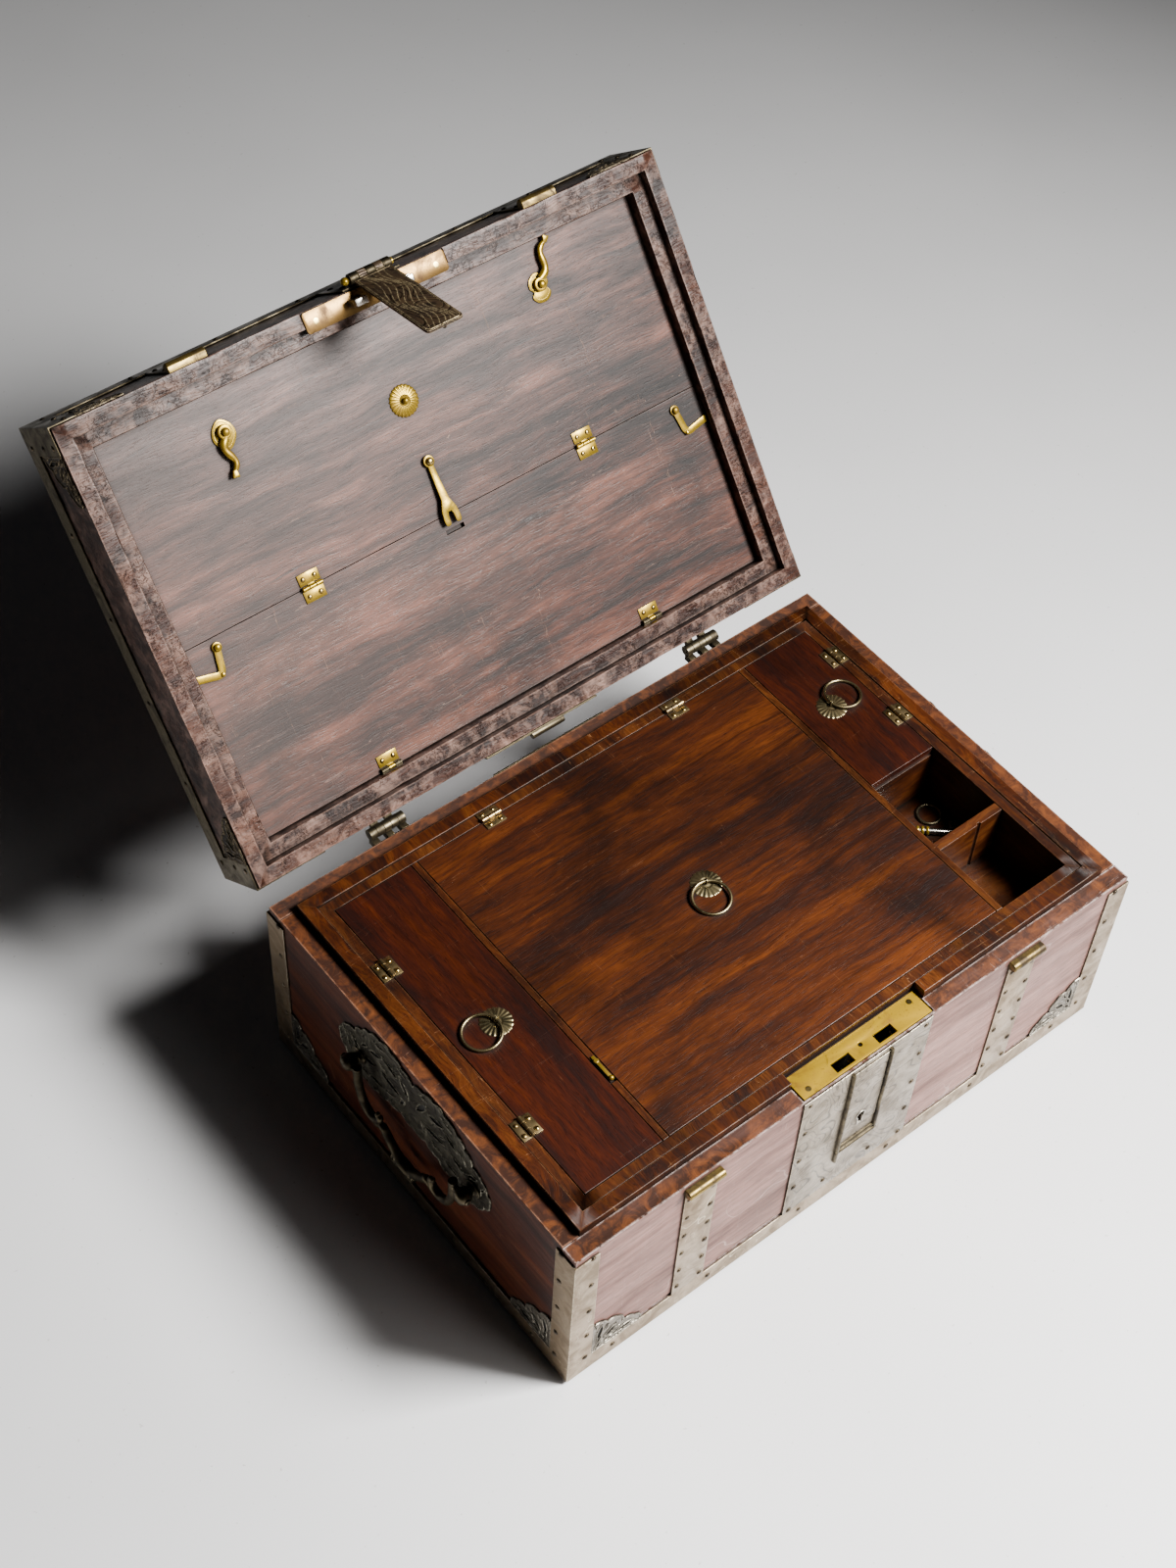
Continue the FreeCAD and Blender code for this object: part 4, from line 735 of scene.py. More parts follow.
@dataclass(frozen=True)
class Wood:
    """A finish of old waxed hardwood, with colours from its dark bands to its light ones."""

    name: str
    dark: tuple
    middle: tuple
    light: tuple
    worn: tuple
    grain: Grain
    scale: float = 90.0
    burl: float = 0.1
    stains: float = 0.45
    streaks: float = 0.5
    wear: float = 0.8
    scratched: float = 0.4
    roughness: float = 0.36
    coat: float = 0.15
    shine: float = 0.3
    bump: float = 0.25
    edge: float = 0.0018
    # How far occluded corners and gaps are darkened: painted shade and grime.
    grime_and_shade: float = 0.8
    rim_height: float = 0.0
    chipped: float = 0.0
    # A pale colour screened over the upper left of the board: a painted sheen.
    painted_sheen: Optional[tuple] = None

    def coloured(self, tree: Tree, place: Socket, figure: object) -> object:
        """The wood's own colour, before wear.

        Args:
            tree: The material's tree helper.
            place: The object coordinates' socket.
            figure: The figure's outputs.

        Returns:
            The colour's socket.
        """
        bands = tree.ramp(figure["Bands"], [(0.39, self.dark), (0.5, self.middle), (0.61, self.light)])
        fibre = tree.span(figure["Fibres"], 0.35, 0.65, 0.78, 1.18)
        grey = tree.add("ShaderNodeCombineColor", {0: fibre, 1: fibre, 2: fibre}).outputs[0]
        fibred = tree.mix(1.0, bands, grey, "MULTIPLY")
        deep = tuple(c * 0.4 for c in self.dark)
        streaked = tree.mix(tree.times(figure["Streaks"], self.streaks), fibred, self.dark)
        pored = tree.mix(tree.times(figure["Pores"], 0.5), streaked, deep)
        shade = tree.span(figure["Stains"], 0.36, 0.58, 1.0 - self.stains, 1.0)
        stain = tree.add("ShaderNodeCombineColor", {0: shade, 1: shade, 2: shade}).outputs[0]
        stained = tree.mix(1.0, pored, stain, "MULTIPLY")
        # Lightens the board towards its upper left with a screen mix: a painted sheen.
        if self.painted_sheen:
            parts = tree.add("ShaderNodeSeparateXYZ", {0: place}).outputs
            along = tree.minus(parts["X"], tree.times(parts["Z"], 1.1))
            stained = tree.mix(tree.span(along, -0.5, -0.2, 0.35, 0.0), stained, self.painted_sheen, "SCREEN")
        if self.rim_height:
            burl = tree.span(tree.noise(place, 85.0, 6.0, 0.7, 0.8), 0.44, 0.72)
            rim = tree.mix(burl, BURL_DARK, BURL_LIGHT)
            stained = tree.mix(above(tree, place, self.rim_height), stained, rim)
        return stained

    def chips(self, tree: Tree, place: Socket, colour: object) -> tuple:
        """Bark-like cracks and pale flakes of wood that has been knocked for centuries.

        Args:
            tree: The material's tree helper.
            place: The object coordinates' socket.
            colour: The colour's socket.

        Returns:
            The new colour's socket and the cracks' socket.
        """
        flakes = tree.span(tree.noise(place, 75.0, 5.0, 0.7, 0.5), 0.46, 0.72)
        flaked = tree.mix(tree.times(flakes, self.chipped), colour, self.worn)
        cells = tree.noise(place, 190.0, 4.0, 0.6, 1.0)
        near = tree.math("ABSOLUTE", tree.minus(cells, 0.47))
        crack = tree.span(near, 0.003, 0.022, 1.0, 0.0)
        patches = tree.span(tree.noise(place, 60.0, 2.0), 0.44, 0.54)
        cracks = tree.times(crack, patches)
        cracked = tree.mix(tree.times(cracks, 0.85), flaked, CRACK)
        return cracked, cracks

    def build(self) -> bpy.types.Material:
        """Builds the material.

        Returns:
            The new material.
        """
        material, tree, shader, place = started(self.name)
        figure = tree.group(
            EFFECTS.figure, place, Stretch=self.grain.value, Scale=self.scale, Burl=self.burl)
        wear = tree.group(EFFECTS.wear, place, Radius=self.edge)
        scratch = tree.group(EFFECTS.scratches, place)
        colour = self.coloured(tree, place, figure)
        cracks = 0.0
        if self.chipped:
            colour, cracks = self.chips(tree, place, colour)
        marked = tree.mix(tree.times(scratch["Scratches"], self.scratched), colour, self.worn)
        worn = tree.mix(tree.times(wear["Wear"], self.wear), marked, self.worn)
        # Occluded corners and gaps turn near-black: painted shade, together with grime.
        grimed_and_shaded = tree.mix(tree.times(wear["Dirt"], self.grime_and_shade), worn, GRIME_AND_SHADE_DARK)
        rough = tree.span(figure["Bands"], 0.3, 0.7, self.roughness + 0.16, self.roughness - 0.08)
        if self.rim_height:
            rough = tree.plus(rough, tree.times(above(tree, place, self.rim_height), 0.4))
        rougher = tree.plus(rough, tree.times(wear["Dirt"], 0.25), clamp=True)
        fibres = tree.times(figure["Fibres"], 0.5)
        height = tree.plus(figure["Bands"], fibres)
        pitted = tree.minus(height, tree.times(figure["Pores"], 0.5))
        cut = tree.plus(tree.times(scratch["Scratches"], 0.4), cracks)
        relief = tree.minus(pitted, cut)
        bump = tree.add("ShaderNodeBump", {"Height": relief, "Strength": self.bump, "Distance": 0.0006})
        tree.give(shader, Base_Color=grimed_and_shaded, Roughness=rougher, Normal=bump.outputs["Normal"])
        shader.inputs["Coat Weight"].default_value = self.coat
        shader.inputs["Specular IOR Level"].default_value = self.shine
        shader.inputs["Coat Roughness"].default_value = 0.28
        return material


@dataclass(frozen=True)
class Metal:
    """A finish of old metal, from its bright colour to its tarnish."""

    name: str
    bright: tuple
    tarnish: tuple
    scale: float = 60.0
    spread: tuple = (0.4, 0.62)
    metallic: float = 1.0
    roughness: tuple = (0.26, 0.5)
    wear: float = 0.7
    grime_and_shade: float = 0.8
    # How far occluded corners and gaps are darkened: painted shade and grime.
    blotches: float = 0.3
    bump: float = 0.15
    edge: float = 0.0006
    engraved: float = 0.0
    engraving: tuple = (26.0, 9.0, 0.12)
    edge_colour: Optional[tuple] = None

    def build(self) -> bpy.types.Material:
        """Builds the material.

        Returns:
            The new material.
        """
        material, tree, shader, place = started(self.name)
        patina = tree.group(EFFECTS.patina, place, Scale=self.scale)
        wear = tree.group(EFFECTS.wear, place, Radius=self.edge, Break_Up=320.0, Reach=0.0035)
        scratch = tree.group(EFFECTS.scratches, place, Scale=30.0)
        amount = tree.span(patina["Mottle"], *self.spread)
        colour = tree.mix(amount, self.bright, self.tarnish)
        specked = tree.mix(tree.times(patina["Specks"], 0.6), colour, self.tarnish)
        deep = tuple(c * 0.3 for c in self.tarnish)
        blotched = tree.mix(tree.times(patina["Blotches"], self.blotches), specked, deep)
        rubbed = tree.times(scratch["Scratches"], 0.5)
        shining = self.edge_colour or self.bright
        scratched = tree.mix(rubbed, blotched, shining)
        height = tree.minus(patina["Dents"], tree.times(patina["Specks"], 0.3))
        if self.engraved:
            names = ("Scale", "Lines", "Width")
            cut = tree.group(EFFECTS.engraving, place, **dict(zip(names, self.engraving)))["Cut"]
            scratched = tree.mix(tree.times(cut, self.engraved), scratched, deep)
            height = tree.minus(height, cut)
        worn = tree.mix(tree.times(wear["Wear"], self.wear), scratched, shining)
        # Occluded corners and gaps turn near-black: painted shade, together with grime.
        grimed_and_shaded = tree.mix(tree.times(wear["Dirt"], self.grime_and_shade), worn, BRASS_GRIME_AND_SHADE)
        rough = tree.span(patina["Mottle"], *self.spread, *self.roughness)
        rougher = tree.plus(rough, tree.times(wear["Dirt"], 0.3), clamp=True)
        bump = tree.add("ShaderNodeBump", {"Height": height, "Strength": self.bump, "Distance": 0.0005})
        tree.give(shader, Base_Color=grimed_and_shaded, Roughness=rougher, Normal=bump.outputs["Normal"])
        shader.inputs["Metallic"].default_value = self.metallic
        return material


# Fine eased edges, with strong painted shade and grime in occluded corners.
FINE_EDGE = {"edge": 0.0008, "grime_and_shade": 0.95}


@dataclass(frozen=True)
class Palette:
    """All finishes of the strongbox."""

    # The front's wood is a paler copy of the carcase wood: painted light, for the side that faces the lamp.
    front: Wood = Wood(
        "front wood painted pale as if lit", (0.128, 0.0534, 0.0403), (0.2239, 0.1067, 0.0841), (0.2986, 0.1541, 0.1261),
        (0.66, 0.52, 0.48), Grain.ALONG_X, stains=0.3, streaks=0.35, roughness=0.5, shine=0.18, coat=0.1,
        rim_height=RIM_HEIGHT)
    carcase: Wood = Wood(
        "carcase wood along x", (0.035, 0.012, 0.007), (0.1, 0.034, 0.018), (0.19, 0.07, 0.035),
        (0.4, 0.2, 0.12), Grain.ALONG_X, rim_height=RIM_HEIGHT)
    lid_top: Wood = replace(carcase, name="lid board wood", rim_height=0.0)
    carcase_side: Wood = Wood(
        "carcase wood along y", (0.0284, 0.0066, 0.0029), (0.077, 0.018, 0.0076), (0.1377, 0.036, 0.0134),
        (0.36, 0.18, 0.11), Grain.ALONG_Y, rim_height=RIM_HEIGHT, shine=0.15)
    lid_wood: Wood = Wood(
        "lid rail wood", (0.0162, 0.0045, 0.0023), (0.0432, 0.013, 0.0063), (0.0792, 0.0275, 0.0141),
        (0.42, 0.25, 0.19), Grain.ALONG_X, wear=0.5, edge=0.0016, grime_and_shade=1.0, chipped=0.55, bump=0.7,
        shine=0.25)
    lining: Wood = Wood(
        "lining wood along x", (0.0132, 0.0028, 0.0006), (0.0454, 0.0111, 0.0022),
        (0.0869, 0.0263, 0.0054), (0.5, 0.24, 0.1), Grain.ALONG_X, scale=110.0, burl=0.5, stains=0.7,
        shine=0.2, wear=0.15, **FINE_EDGE)
    lining_side: Wood = replace(lining, name="lining wood along y", grain=Grain.ALONG_Y)
    rim: Wood = Wood(
        "burled rim wood", (0.014, 0.0025, 0.0005), (0.0525, 0.0116, 0.0019), (0.0945, 0.0266, 0.0047),
        (0.55, 0.28, 0.12), Grain.ALONG_Y, scale=100.0, burl=0.9, stains=0.8, shine=0.2, wear=0.25,
        **FINE_EDGE)
    tray: Wood = Wood(
        "tray wood along x", (0.0158, 0.0032, 0.0008), (0.0448, 0.0103, 0.0022), (0.0843, 0.0216, 0.0043),
        (0.4, 0.18, 0.08), Grain.ALONG_X, scale=95.0, streaks=0.75, stains=0.6, shine=0.22, scratched=0.15,
        wear=0.15, **FINE_EDGE)
    tray_side: Wood = Wood(
        "tray wood along y", (0.0112, 0.0017, 0.0006), (0.028, 0.0047, 0.0014), (0.0476, 0.0089, 0.0023),
        (0.26, 0.11, 0.05), Grain.ALONG_Y, scale=100.0, streaks=0.6, shine=0.2, scratched=0.15, wear=0.12,
        **FINE_EDGE)
    # The panel gets a painted sheen that lightens its upper left.
    panel: Wood = Wood(
        "panel wood", (0.012, 0.004, 0.0025), (0.07, 0.021, 0.0115), (0.17, 0.062, 0.038),
        (0.36, 0.22, 0.16), Grain.ALONG_X, scale=100.0, roughness=0.4, shine=0.3, scratched=0.6,
        stains=0.7, streaks=0.85, wear=0.2, edge=0.0008, grime_and_shade=1.0, painted_sheen=(0.12, 0.085, 0.075))
    bright_brass: Metal = Metal(
        "bright brass", (0.4, 0.26, 0.018), (0.16, 0.09, 0.01), spread=(0.45, 0.7), metallic=0.75,
        edge_colour=(0.55, 0.4, 0.1))
    bar_brass: Metal = Metal(
        "rubbed bar brass", (0.22, 0.15, 0.04), (0.045, 0.03, 0.014), spread=(0.42, 0.58), metallic=0.8)
    rosette_brass: Metal = Metal(
        "old rosette brass", (0.4, 0.33, 0.17), (0.12, 0.09, 0.045), spread=(0.4, 0.62), grime_and_shade=1.0)
    plate_brass: Metal = Metal(
        "scorched plate brass", (0.54, 0.33, 0.012), (0.24, 0.12, 0.012), spread=(0.52, 0.7), metallic=0.6,
        blotches=0.6, roughness=(0.3, 0.5))
    strike_brass: Metal = Metal(
        "rubbed strike brass", (0.22, 0.125, 0.036), (0.07, 0.038, 0.016), spread=(0.48, 0.66),
        metallic=0.8, blotches=0.9, roughness=(0.3, 0.5))
    aged_brass: Metal = Metal("aged brass", (0.17, 0.14, 0.085), (0.05, 0.04, 0.026), roughness=(0.34, 0.55))
    # A paler copy of the aged brass for the front's sheets: painted light, for the lit front.
    lit_front_brass: Metal = Metal(
        "front brass painted pale as if lit", (0.31, 0.2352, 0.155), (0.186, 0.1344, 0.0825), roughness=(0.36, 0.55),
        edge_colour=(0.95, 0.88, 0.7))
    lock_brass: Metal = Metal(
        "engraved lock brass", (0.26, 0.2208, 0.1672), (0.165, 0.1344, 0.0968), roughness=(0.34, 0.52),
        engraved=0.9, engraving=(24.0, 10.0, 0.15), edge_colour=(0.95, 0.88, 0.7), bump=0.3)
    hinge_brass: Metal = Metal(
        "tray hinge brass", (0.5, 0.36, 0.16), (0.14, 0.1, 0.055), roughness=(0.3, 0.5))
    screw_brass: Metal = Metal(
        "bright screw heads", (0.7, 0.52, 0.18), (0.3, 0.2, 0.07), roughness=(0.18, 0.36))
    nail_brass: Metal = Metal("nail heads", (0.13, 0.1, 0.065), (0.03, 0.024, 0.018), roughness=(0.25, 0.45))
    dark_bronze: Metal = Metal(
        "dark bronze", (0.11, 0.088, 0.05), (0.025, 0.02, 0.014), spread=(0.35, 0.6),
        roughness=(0.34, 0.55), edge_colour=(0.36, 0.3, 0.19), wear=0.8)
    hasp_bronze: Metal = Metal(
        "engraved hasp bronze", (0.12, 0.075, 0.04), (0.05, 0.032, 0.02), spread=(0.35, 0.6), metallic=0.5,
        roughness=(0.3, 0.5), engraved=0.9, engraving=(24.0, 9.0, 0.2), bump=0.8,
        edge_colour=(0.7, 0.55, 0.3), wear=0.9)
    mount_silver: Metal = Metal(
        "worn foliate mounts", (0.22, 0.195, 0.155), (0.1, 0.086, 0.066), spread=(0.4, 0.62),
        roughness=(0.32, 0.5), engraved=0.6, engraving=(60.0, 6.0, 0.16), bump=0.8,
        edge_colour=(0.5, 0.46, 0.38), wear=0.8)
    lid_mount: Metal = Metal(
        "black foliate mounts", (0.13, 0.1, 0.07), (0.02, 0.016, 0.012), spread=(0.35, 0.6),
        roughness=(0.3, 0.5), edge_colour=(0.5, 0.4, 0.25), wear=0.9, engraved=0.7,
        engraving=(60.0, 7.0, 0.2), bump=0.8)
    cartouche: Metal = Metal(
        "olive foliate mounts", (0.11, 0.1, 0.07), (0.035, 0.03, 0.022), spread=(0.35, 0.6),
        roughness=(0.34, 0.52), engraved=0.85, engraving=(38.0, 8.0, 0.2), bump=0.9,
        edge_colour=(0.58, 0.54, 0.42), wear=0.9)
    # A black sheet under pierced mounts: painted shade in the piercings.
    shade_backing: Metal = Metal(
        "black painted shade", (0.02, 0.017, 0.013), (0.006, 0.005, 0.004), metallic=0.0, roughness=(0.7, 0.9))
    iron: Metal = Metal("iron", (0.42, 0.4, 0.37), (0.16, 0.14, 0.12))
    steel: Metal = Metal("grey steel", (0.55, 0.52, 0.47), (0.25, 0.22, 0.18), roughness=(0.24, 0.4))


@dataclass(frozen=True)
class Stud:
    """One domed head: where it stands and which way it faces, in metres of the frame."""

    place: Vector
    facing: Vector


def stud_on(part: Part, frame_of_it: Matrix, x: float, y: float, z: float = 0.0) -> Stud:
    """A head at x, y and z of a flat frame that is drawn on one half."""
    whole = LAYOUT.matrix(part) @ frame_of_it
    return Stud(whole @ Vector((x, y, z)), (whole.to_3x3() @ UP).normalized())


def domed_heads(segments: int = 10, rings: int = 6) -> bpy.types.NodeTree:
    """Builds the tree that sets a low dome on every point of a mesh and turns it outward.

    Args:
        segments: How many sides a dome has.
        rings: How many rings it has, from pole to pole.

    Returns:
        The tree.
    """
    group, tree, source, sink = new_group(
        "domed heads",
        {"Geometry": "NodeSocketGeometry", "Radius": 0.002, "Height": 0.001, "Vary": 0.1, "Seed": 1,
         "Material": "NodeSocketMaterial"},
        ("Geometry",), "GeometryNodeTree",
    )
    dome = tree.add("GeometryNodeMeshUVSphere", {"Segments": segments, "Rings": rings, "Radius": 1.0})
    facing = tree.add("GeometryNodeInputNamedAttribute", {"Name": "facing"}, data_type="FLOAT_VECTOR")
    turned = tree.add("FunctionNodeAlignRotationToVector", {"Vector": facing.outputs["Attribute"]}, axis="Z")
    least, most = tree.minus(1.0, source["Vary"]), tree.plus(1.0, source["Vary"])
    size = tree.add(
        "FunctionNodeRandomValue", {2: least, 3: most, "Seed": source["Seed"]}, data_type="FLOAT")
    wide = tree.times(source["Radius"], size.outputs[1])
    heads = tree.add("GeometryNodeInstanceOnPoints", {
        "Points": source["Geometry"], "Instance": dome.outputs["Mesh"],
        "Rotation": turned.outputs["Rotation"],
        "Scale": tree.add("ShaderNodeCombineXYZ", {0: wide, 1: wide, 2: source["Height"]}).outputs[0],
    })
    real = tree.add("GeometryNodeRealizeInstances", {"Geometry": heads.outputs["Instances"]})
    dressed = tree.add("GeometryNodeSetMaterial", {
        "Geometry": real.outputs["Geometry"], "Material": source["Material"],
    })
    tree.give(sink, Geometry=dressed.outputs["Geometry"])
    return group


@dataclass
class Workshop:
    """Makes and dresses pieces, and keeps the materials."""

    materials: dict = field(default_factory=dict)
    heads: bpy.types.NodeTree = field(default_factory=domed_heads)
    slots: dict = field(default_factory=dict)
    bodies: dict = field(default_factory=dict)

    def __post_init__(self) -> None:
        """Reads each node's slot and body from the record."""
        record = frame["record"]
        self.slots = {row["node"]: row["material_slot"] for row in record["subparts"]}
        self.bodies = {node: body for body, nodes in record["behaviour"]["bodies"].items() for node in nodes}

    def material(self, finish: object) -> bpy.types.Material:
        """The material of a wood or metal, built the first time."""
        if finish.name not in self.materials:
            self.materials[finish.name] = finish.build()
        return self.materials[finish.name]

    def piece(self, name: str, form: object, finish: object, node: str, stands_for: bool = True,
              smooth: float = 35.0) -> None:
        """Puts a finished mesh on its node's body.

        Args:
            name: The piece's name.
            form: Its drawing, or its mesh in metres, in place.
            finish: Its wood or metal.
            node: The node whose body it rides on.
            stands_for: Whether it replaces that node.
            smooth: The angle below which edges are shaded smooth, in degrees.
        """
        mesh = form.finish() if isinstance(form, Drawing) else form
        mesh.name = name
        mesh.materials.clear()
        mesh.materials.append(self.material(finish))
        mesh.polygons.foreach_set("use_smooth", [True] * len(mesh.polygons))
        if smooth:
            mesh.set_sharp_from_angle(angle=math.radians(smooth))
        thing = bpy.data.objects.new(name, mesh)
        bpy.context.scene.collection.objects.link(thing)
        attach(thing, self.bodies[node])
        if stands_for:
            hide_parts(node)
        LOG.info("piece %s: %d faces on %s", name, len(mesh.polygons), self.bodies[node])

    def copy_of(self, node: str) -> bmesh.types.BMesh:
        """A merged copy of a node's mesh, with its flat faces joined.

        Args:
            node: The node's name.

        Returns:
            The copy.
        """
        form = bmesh.new()
        form.from_mesh(frame["nodes"][node].data)
        bmesh.ops.remove_doubles(form, verts=form.verts, dist=2e-6)
        bmesh.ops.dissolve_limit(form, angle_limit=math.radians(0.5), verts=form.verts, edges=form.edges)
        return form

    def islands(self, node: str) -> list:
        """The separate solids of a node, as lists of their corners.

        Args:
            node: The node's name.

        Returns:
            One list of places for each solid.
        """
        form = self.copy_of(node)
        left = set(form.verts)
        found = []
        while left:
            patch = [left.pop()]
            for vert in patch:
                for edge in vert.link_edges:
                    other = edge.other_vert(vert)
                    if other in left:
                        left.remove(other)
                        patch.append(other)
            found.append([vert.co.copy() for vert in patch])
        form.free()
        return found

    def applied(self, mesh: Mesh, dress: Callable) -> Mesh:
        """A mesh with modifiers applied to it.

        Args:
            mesh: The mesh.
            dress: What adds the modifiers to the object that holds it.

        Returns:
            The finished mesh.
        """
        holder = bpy.data.objects.new("holder", mesh)
        bpy.context.scene.collection.objects.link(holder)
        dress(holder)
        made = bpy.data.meshes.new_from_object(holder.evaluated_get(bpy.context.evaluated_depsgraph_get()))
        bpy.data.objects.remove(holder)
        return made

    def bored(self, solid: Drawing, cutter: Drawing) -> Mesh:
        """One drawing with another cut out of it.

        Args:
            solid: The drawing.
            cutter: What is cut out.

        Returns:
            The cut mesh.
        """
        solid_mesh = solid.finish()
        tool = bpy.data.objects.new("cutter", cutter.finish())
        bpy.context.scene.collection.objects.link(tool)

        def dress(holder: bpy.types.Object) -> None:
            """Adds the cut to the holder.

            Args:
                holder: The object that holds the mesh.
            """
            cut = holder.modifiers.new("bore", "BOOLEAN")
            cut.operation = "DIFFERENCE"
            cut.object = tool

        made = self.applied(solid_mesh, dress)
        bpy.data.objects.remove(tool)
        return made

    def eased(self, node: str, finish: object, ease: float = 0.5, worn: float = 0.0,
              step: float = 16.0) -> None:
        """A node's own shape with its sharp edges eased, and its boards a little uneven.

        Args:
            node: The node's name.
            finish: Its wood or metal.
            ease: The width of the eased edges in millimetres.
            worn: How far its surface strays, in millimetres.
            step: The size of the cells that it is divided into, in millimetres.
        """
        form = self.copy_of(node)
        if worn:
            self.divide(form, step * MM)
        mesh = bpy.data.meshes.new(node)
        form.to_mesh(mesh)
        form.free()

        def dress(holder: bpy.types.Object) -> None:
            """Adds the eased edges to the holder.

            Args:
                holder: The object that holds the mesh.
            """
            bevel = holder.modifiers.new("eased edges", "BEVEL")
            bevel.width = ease * MM
            bevel.segments = 3 if worn else 2
            bevel.limit_method = "ANGLE"
            bevel.angle_limit = math.radians(40)
            bevel.use_clamp_overlap = True

        made = self.applied(mesh, dress)
        if worn:
            self.wear_down(made, worn)
        made.polygons.foreach_set("use_smooth", [True] * len(made.polygons))
        made = self.applied(made, lambda holder: holder.modifiers.new("weighted", "WEIGHTED_NORMAL"))
        self.piece(node + "_eased", made, finish, node, smooth=0.0)

    @staticmethod
    def divide(form: bmesh.types.BMesh, step: float) -> None:
        """Divides a form by planes square to the three axes.

        Args:
            form: The form.
            step: The distance between the planes, in metres.
        """
        for axis in range(3):
            low = min(v.co[axis] for v in form.verts)
            high = max(v.co[axis] for v in form.verts)
            count = int((high - low) / step)
            for k in range(1, count + 1):
                place = Vector((0, 0, 0))
                place[axis] = low + (high - low) * k / (count + 1)
                way = Vector((0, 0, 0))
                way[axis] = 1.0
                geometry = form.verts[:] + form.edges[:] + form.faces[:]
                bmesh.ops.bisect_plane(form, geom=geometry, dist=1e-6, plane_co=place, plane_no=way)

    @staticmethod
    def wear_down(mesh: Mesh, amount: float) -> None:
        """Moves a mesh's corners a little along their normals, inward more than outward.

        Args:
            mesh: The mesh.
            amount: How far, in millimetres.
        """
        form = bmesh.new()
        form.from_mesh(mesh)
        form.normal_update()
        for vert in form.verts:
            sharpest = max((e.calc_face_angle(0.0) for e in vert.link_edges), default=0.0)
            edge = 1.0 if sharpest > 0.25 else 0.35
            broad = noise.noise(vert.co * 35.0)
            fine = noise.noise(vert.co * 160.0 + Vector((3.0, 1.0, 7.0)))
            chip = max(0.0, noise.noise(vert.co * 90.0 + Vector((9.0, 4.0, 2.0))) - 0.25) * 3.0
            vert.co += vert.normal * (0.4 * broad + 0.3 * fine - 0.7 - chip * edge) * amount * MM * edge
        form.to_mesh(mesh)
        form.free()

    def studs(
            self, name: str, spots: Sequence[Stud], radius: float, height: float, finish: object, node: str,
            stands_for: bool = False, vary: float = 0.08, seed: int = 1) -> None:
        """One piece with a domed head on every spot.

        Args:
            name: The piece's name.
            spots: The heads' places.
            radius: Their radius in millimetres.
            height: Their height in millimetres.
            finish: Their metal.
            node: The node whose body they ride on.
            stands_for: Whether they replace that node.
            vary: How far their sizes differ, as a share.
            seed: The seed of those differences.
        """
        mesh = bpy.data.meshes.new(name)
        mesh.from_pydata([spot.place for spot in spots], [], [])
        facing = mesh.attributes.new("facing", "FLOAT_VECTOR", "POINT")
        facing.data.foreach_set("vector", [c for spot in spots for c in spot.facing])
        tree = self.heads
        values = {
            "Radius": radius * MM, "Height": height * MM, "Vary": vary, "Seed": seed,
            "Material": self.material(finish),
        }

        def dress(holder: bpy.types.Object) -> None:
            """Adds the set of heads to the holder, with its inputs set.

            Args:
                holder: The object that holds the mesh.
            """
            modifier = holder.modifiers.new("heads", "NODES")
            modifier.node_group = tree
            for item in tree.interface.items_tree:
                if item.in_out == "INPUT" and item.name in values:
                    modifier[item.identifier] = values[item.name]

        made = self.applied(mesh, dress)
        self.piece(name, made, finish, node, stands_for, smooth=60.0)


@dataclass
class Fitting:
    """What all makers of fittings share: the workshop and the palette."""

    shop: Workshop
    palette: Palette


@dataclass
class Hinge:
    """A small butt hinge with three knuckles, drawn about its own axis along X."""

    length: float = 15.0
    width: float = 7.0
    barrel: float = 1.5
    rise: float = 1.8
    plate: float = 0.8
    play: float = 0.12
    knuckles: int = 3
    head: tuple = (1.7, 0.9)

    def leaf(self, draw: Drawing, place: Matrix, side: int, owned: int) -> None:
        """One leaf with its knuckles.

        Args:
            draw: The drawing.
            place: The hinge's frame.
            side: The side of the axis that the leaf lies on, 1 or -1.
            owned: Whether it owns the even knuckles, 0, or the odd ones, 1.
        """
        draw.at(place @ Matrix.Diagonal((1, side, 1, 1)))
        half, top = self.length / 2, self.plate - self.rise
        draw.block((-half, self.rise, -self.rise), (half, self.width, top), 0.2)
        pitch = self.length / self.knuckles
        for k in range(owned, self.knuckles, 2):
            x0 = -half + k * pitch + self.play
            run = pitch - 2 * self.play
            draw.block((x0, 0, -self.rise), (x0 + run, self.rise + 0.3, top), 0.15)
            profile = [(self.barrel - 0.3, 0), (self.barrel, 0.25), (self.barrel, run - 0.25),
                       (self.barrel - 0.3, run)]
            draw.lathe(profile, (x0, 0, 0), (1, 0, 0), 18)
        if owned == 0:
            for way in (-1, 1):
                start = way * (half - self.play)
                draw.lathe([(0.75, -0.3), (0.75, 0.15), (0.45, 0.35)], (start, 0, 0), (way, 0, 0), 12)

    def heads(self, part: Part, place: Matrix, side: int) -> list:
        """The places of a leaf's two screws, on one side of the hinge's axis."""
        y = side * (self.rise + (self.width - self.rise) * 0.52)
        return [stud_on(part, place, self.length * x, y, self.plate - self.rise) for x in (-0.28, 0.28)]


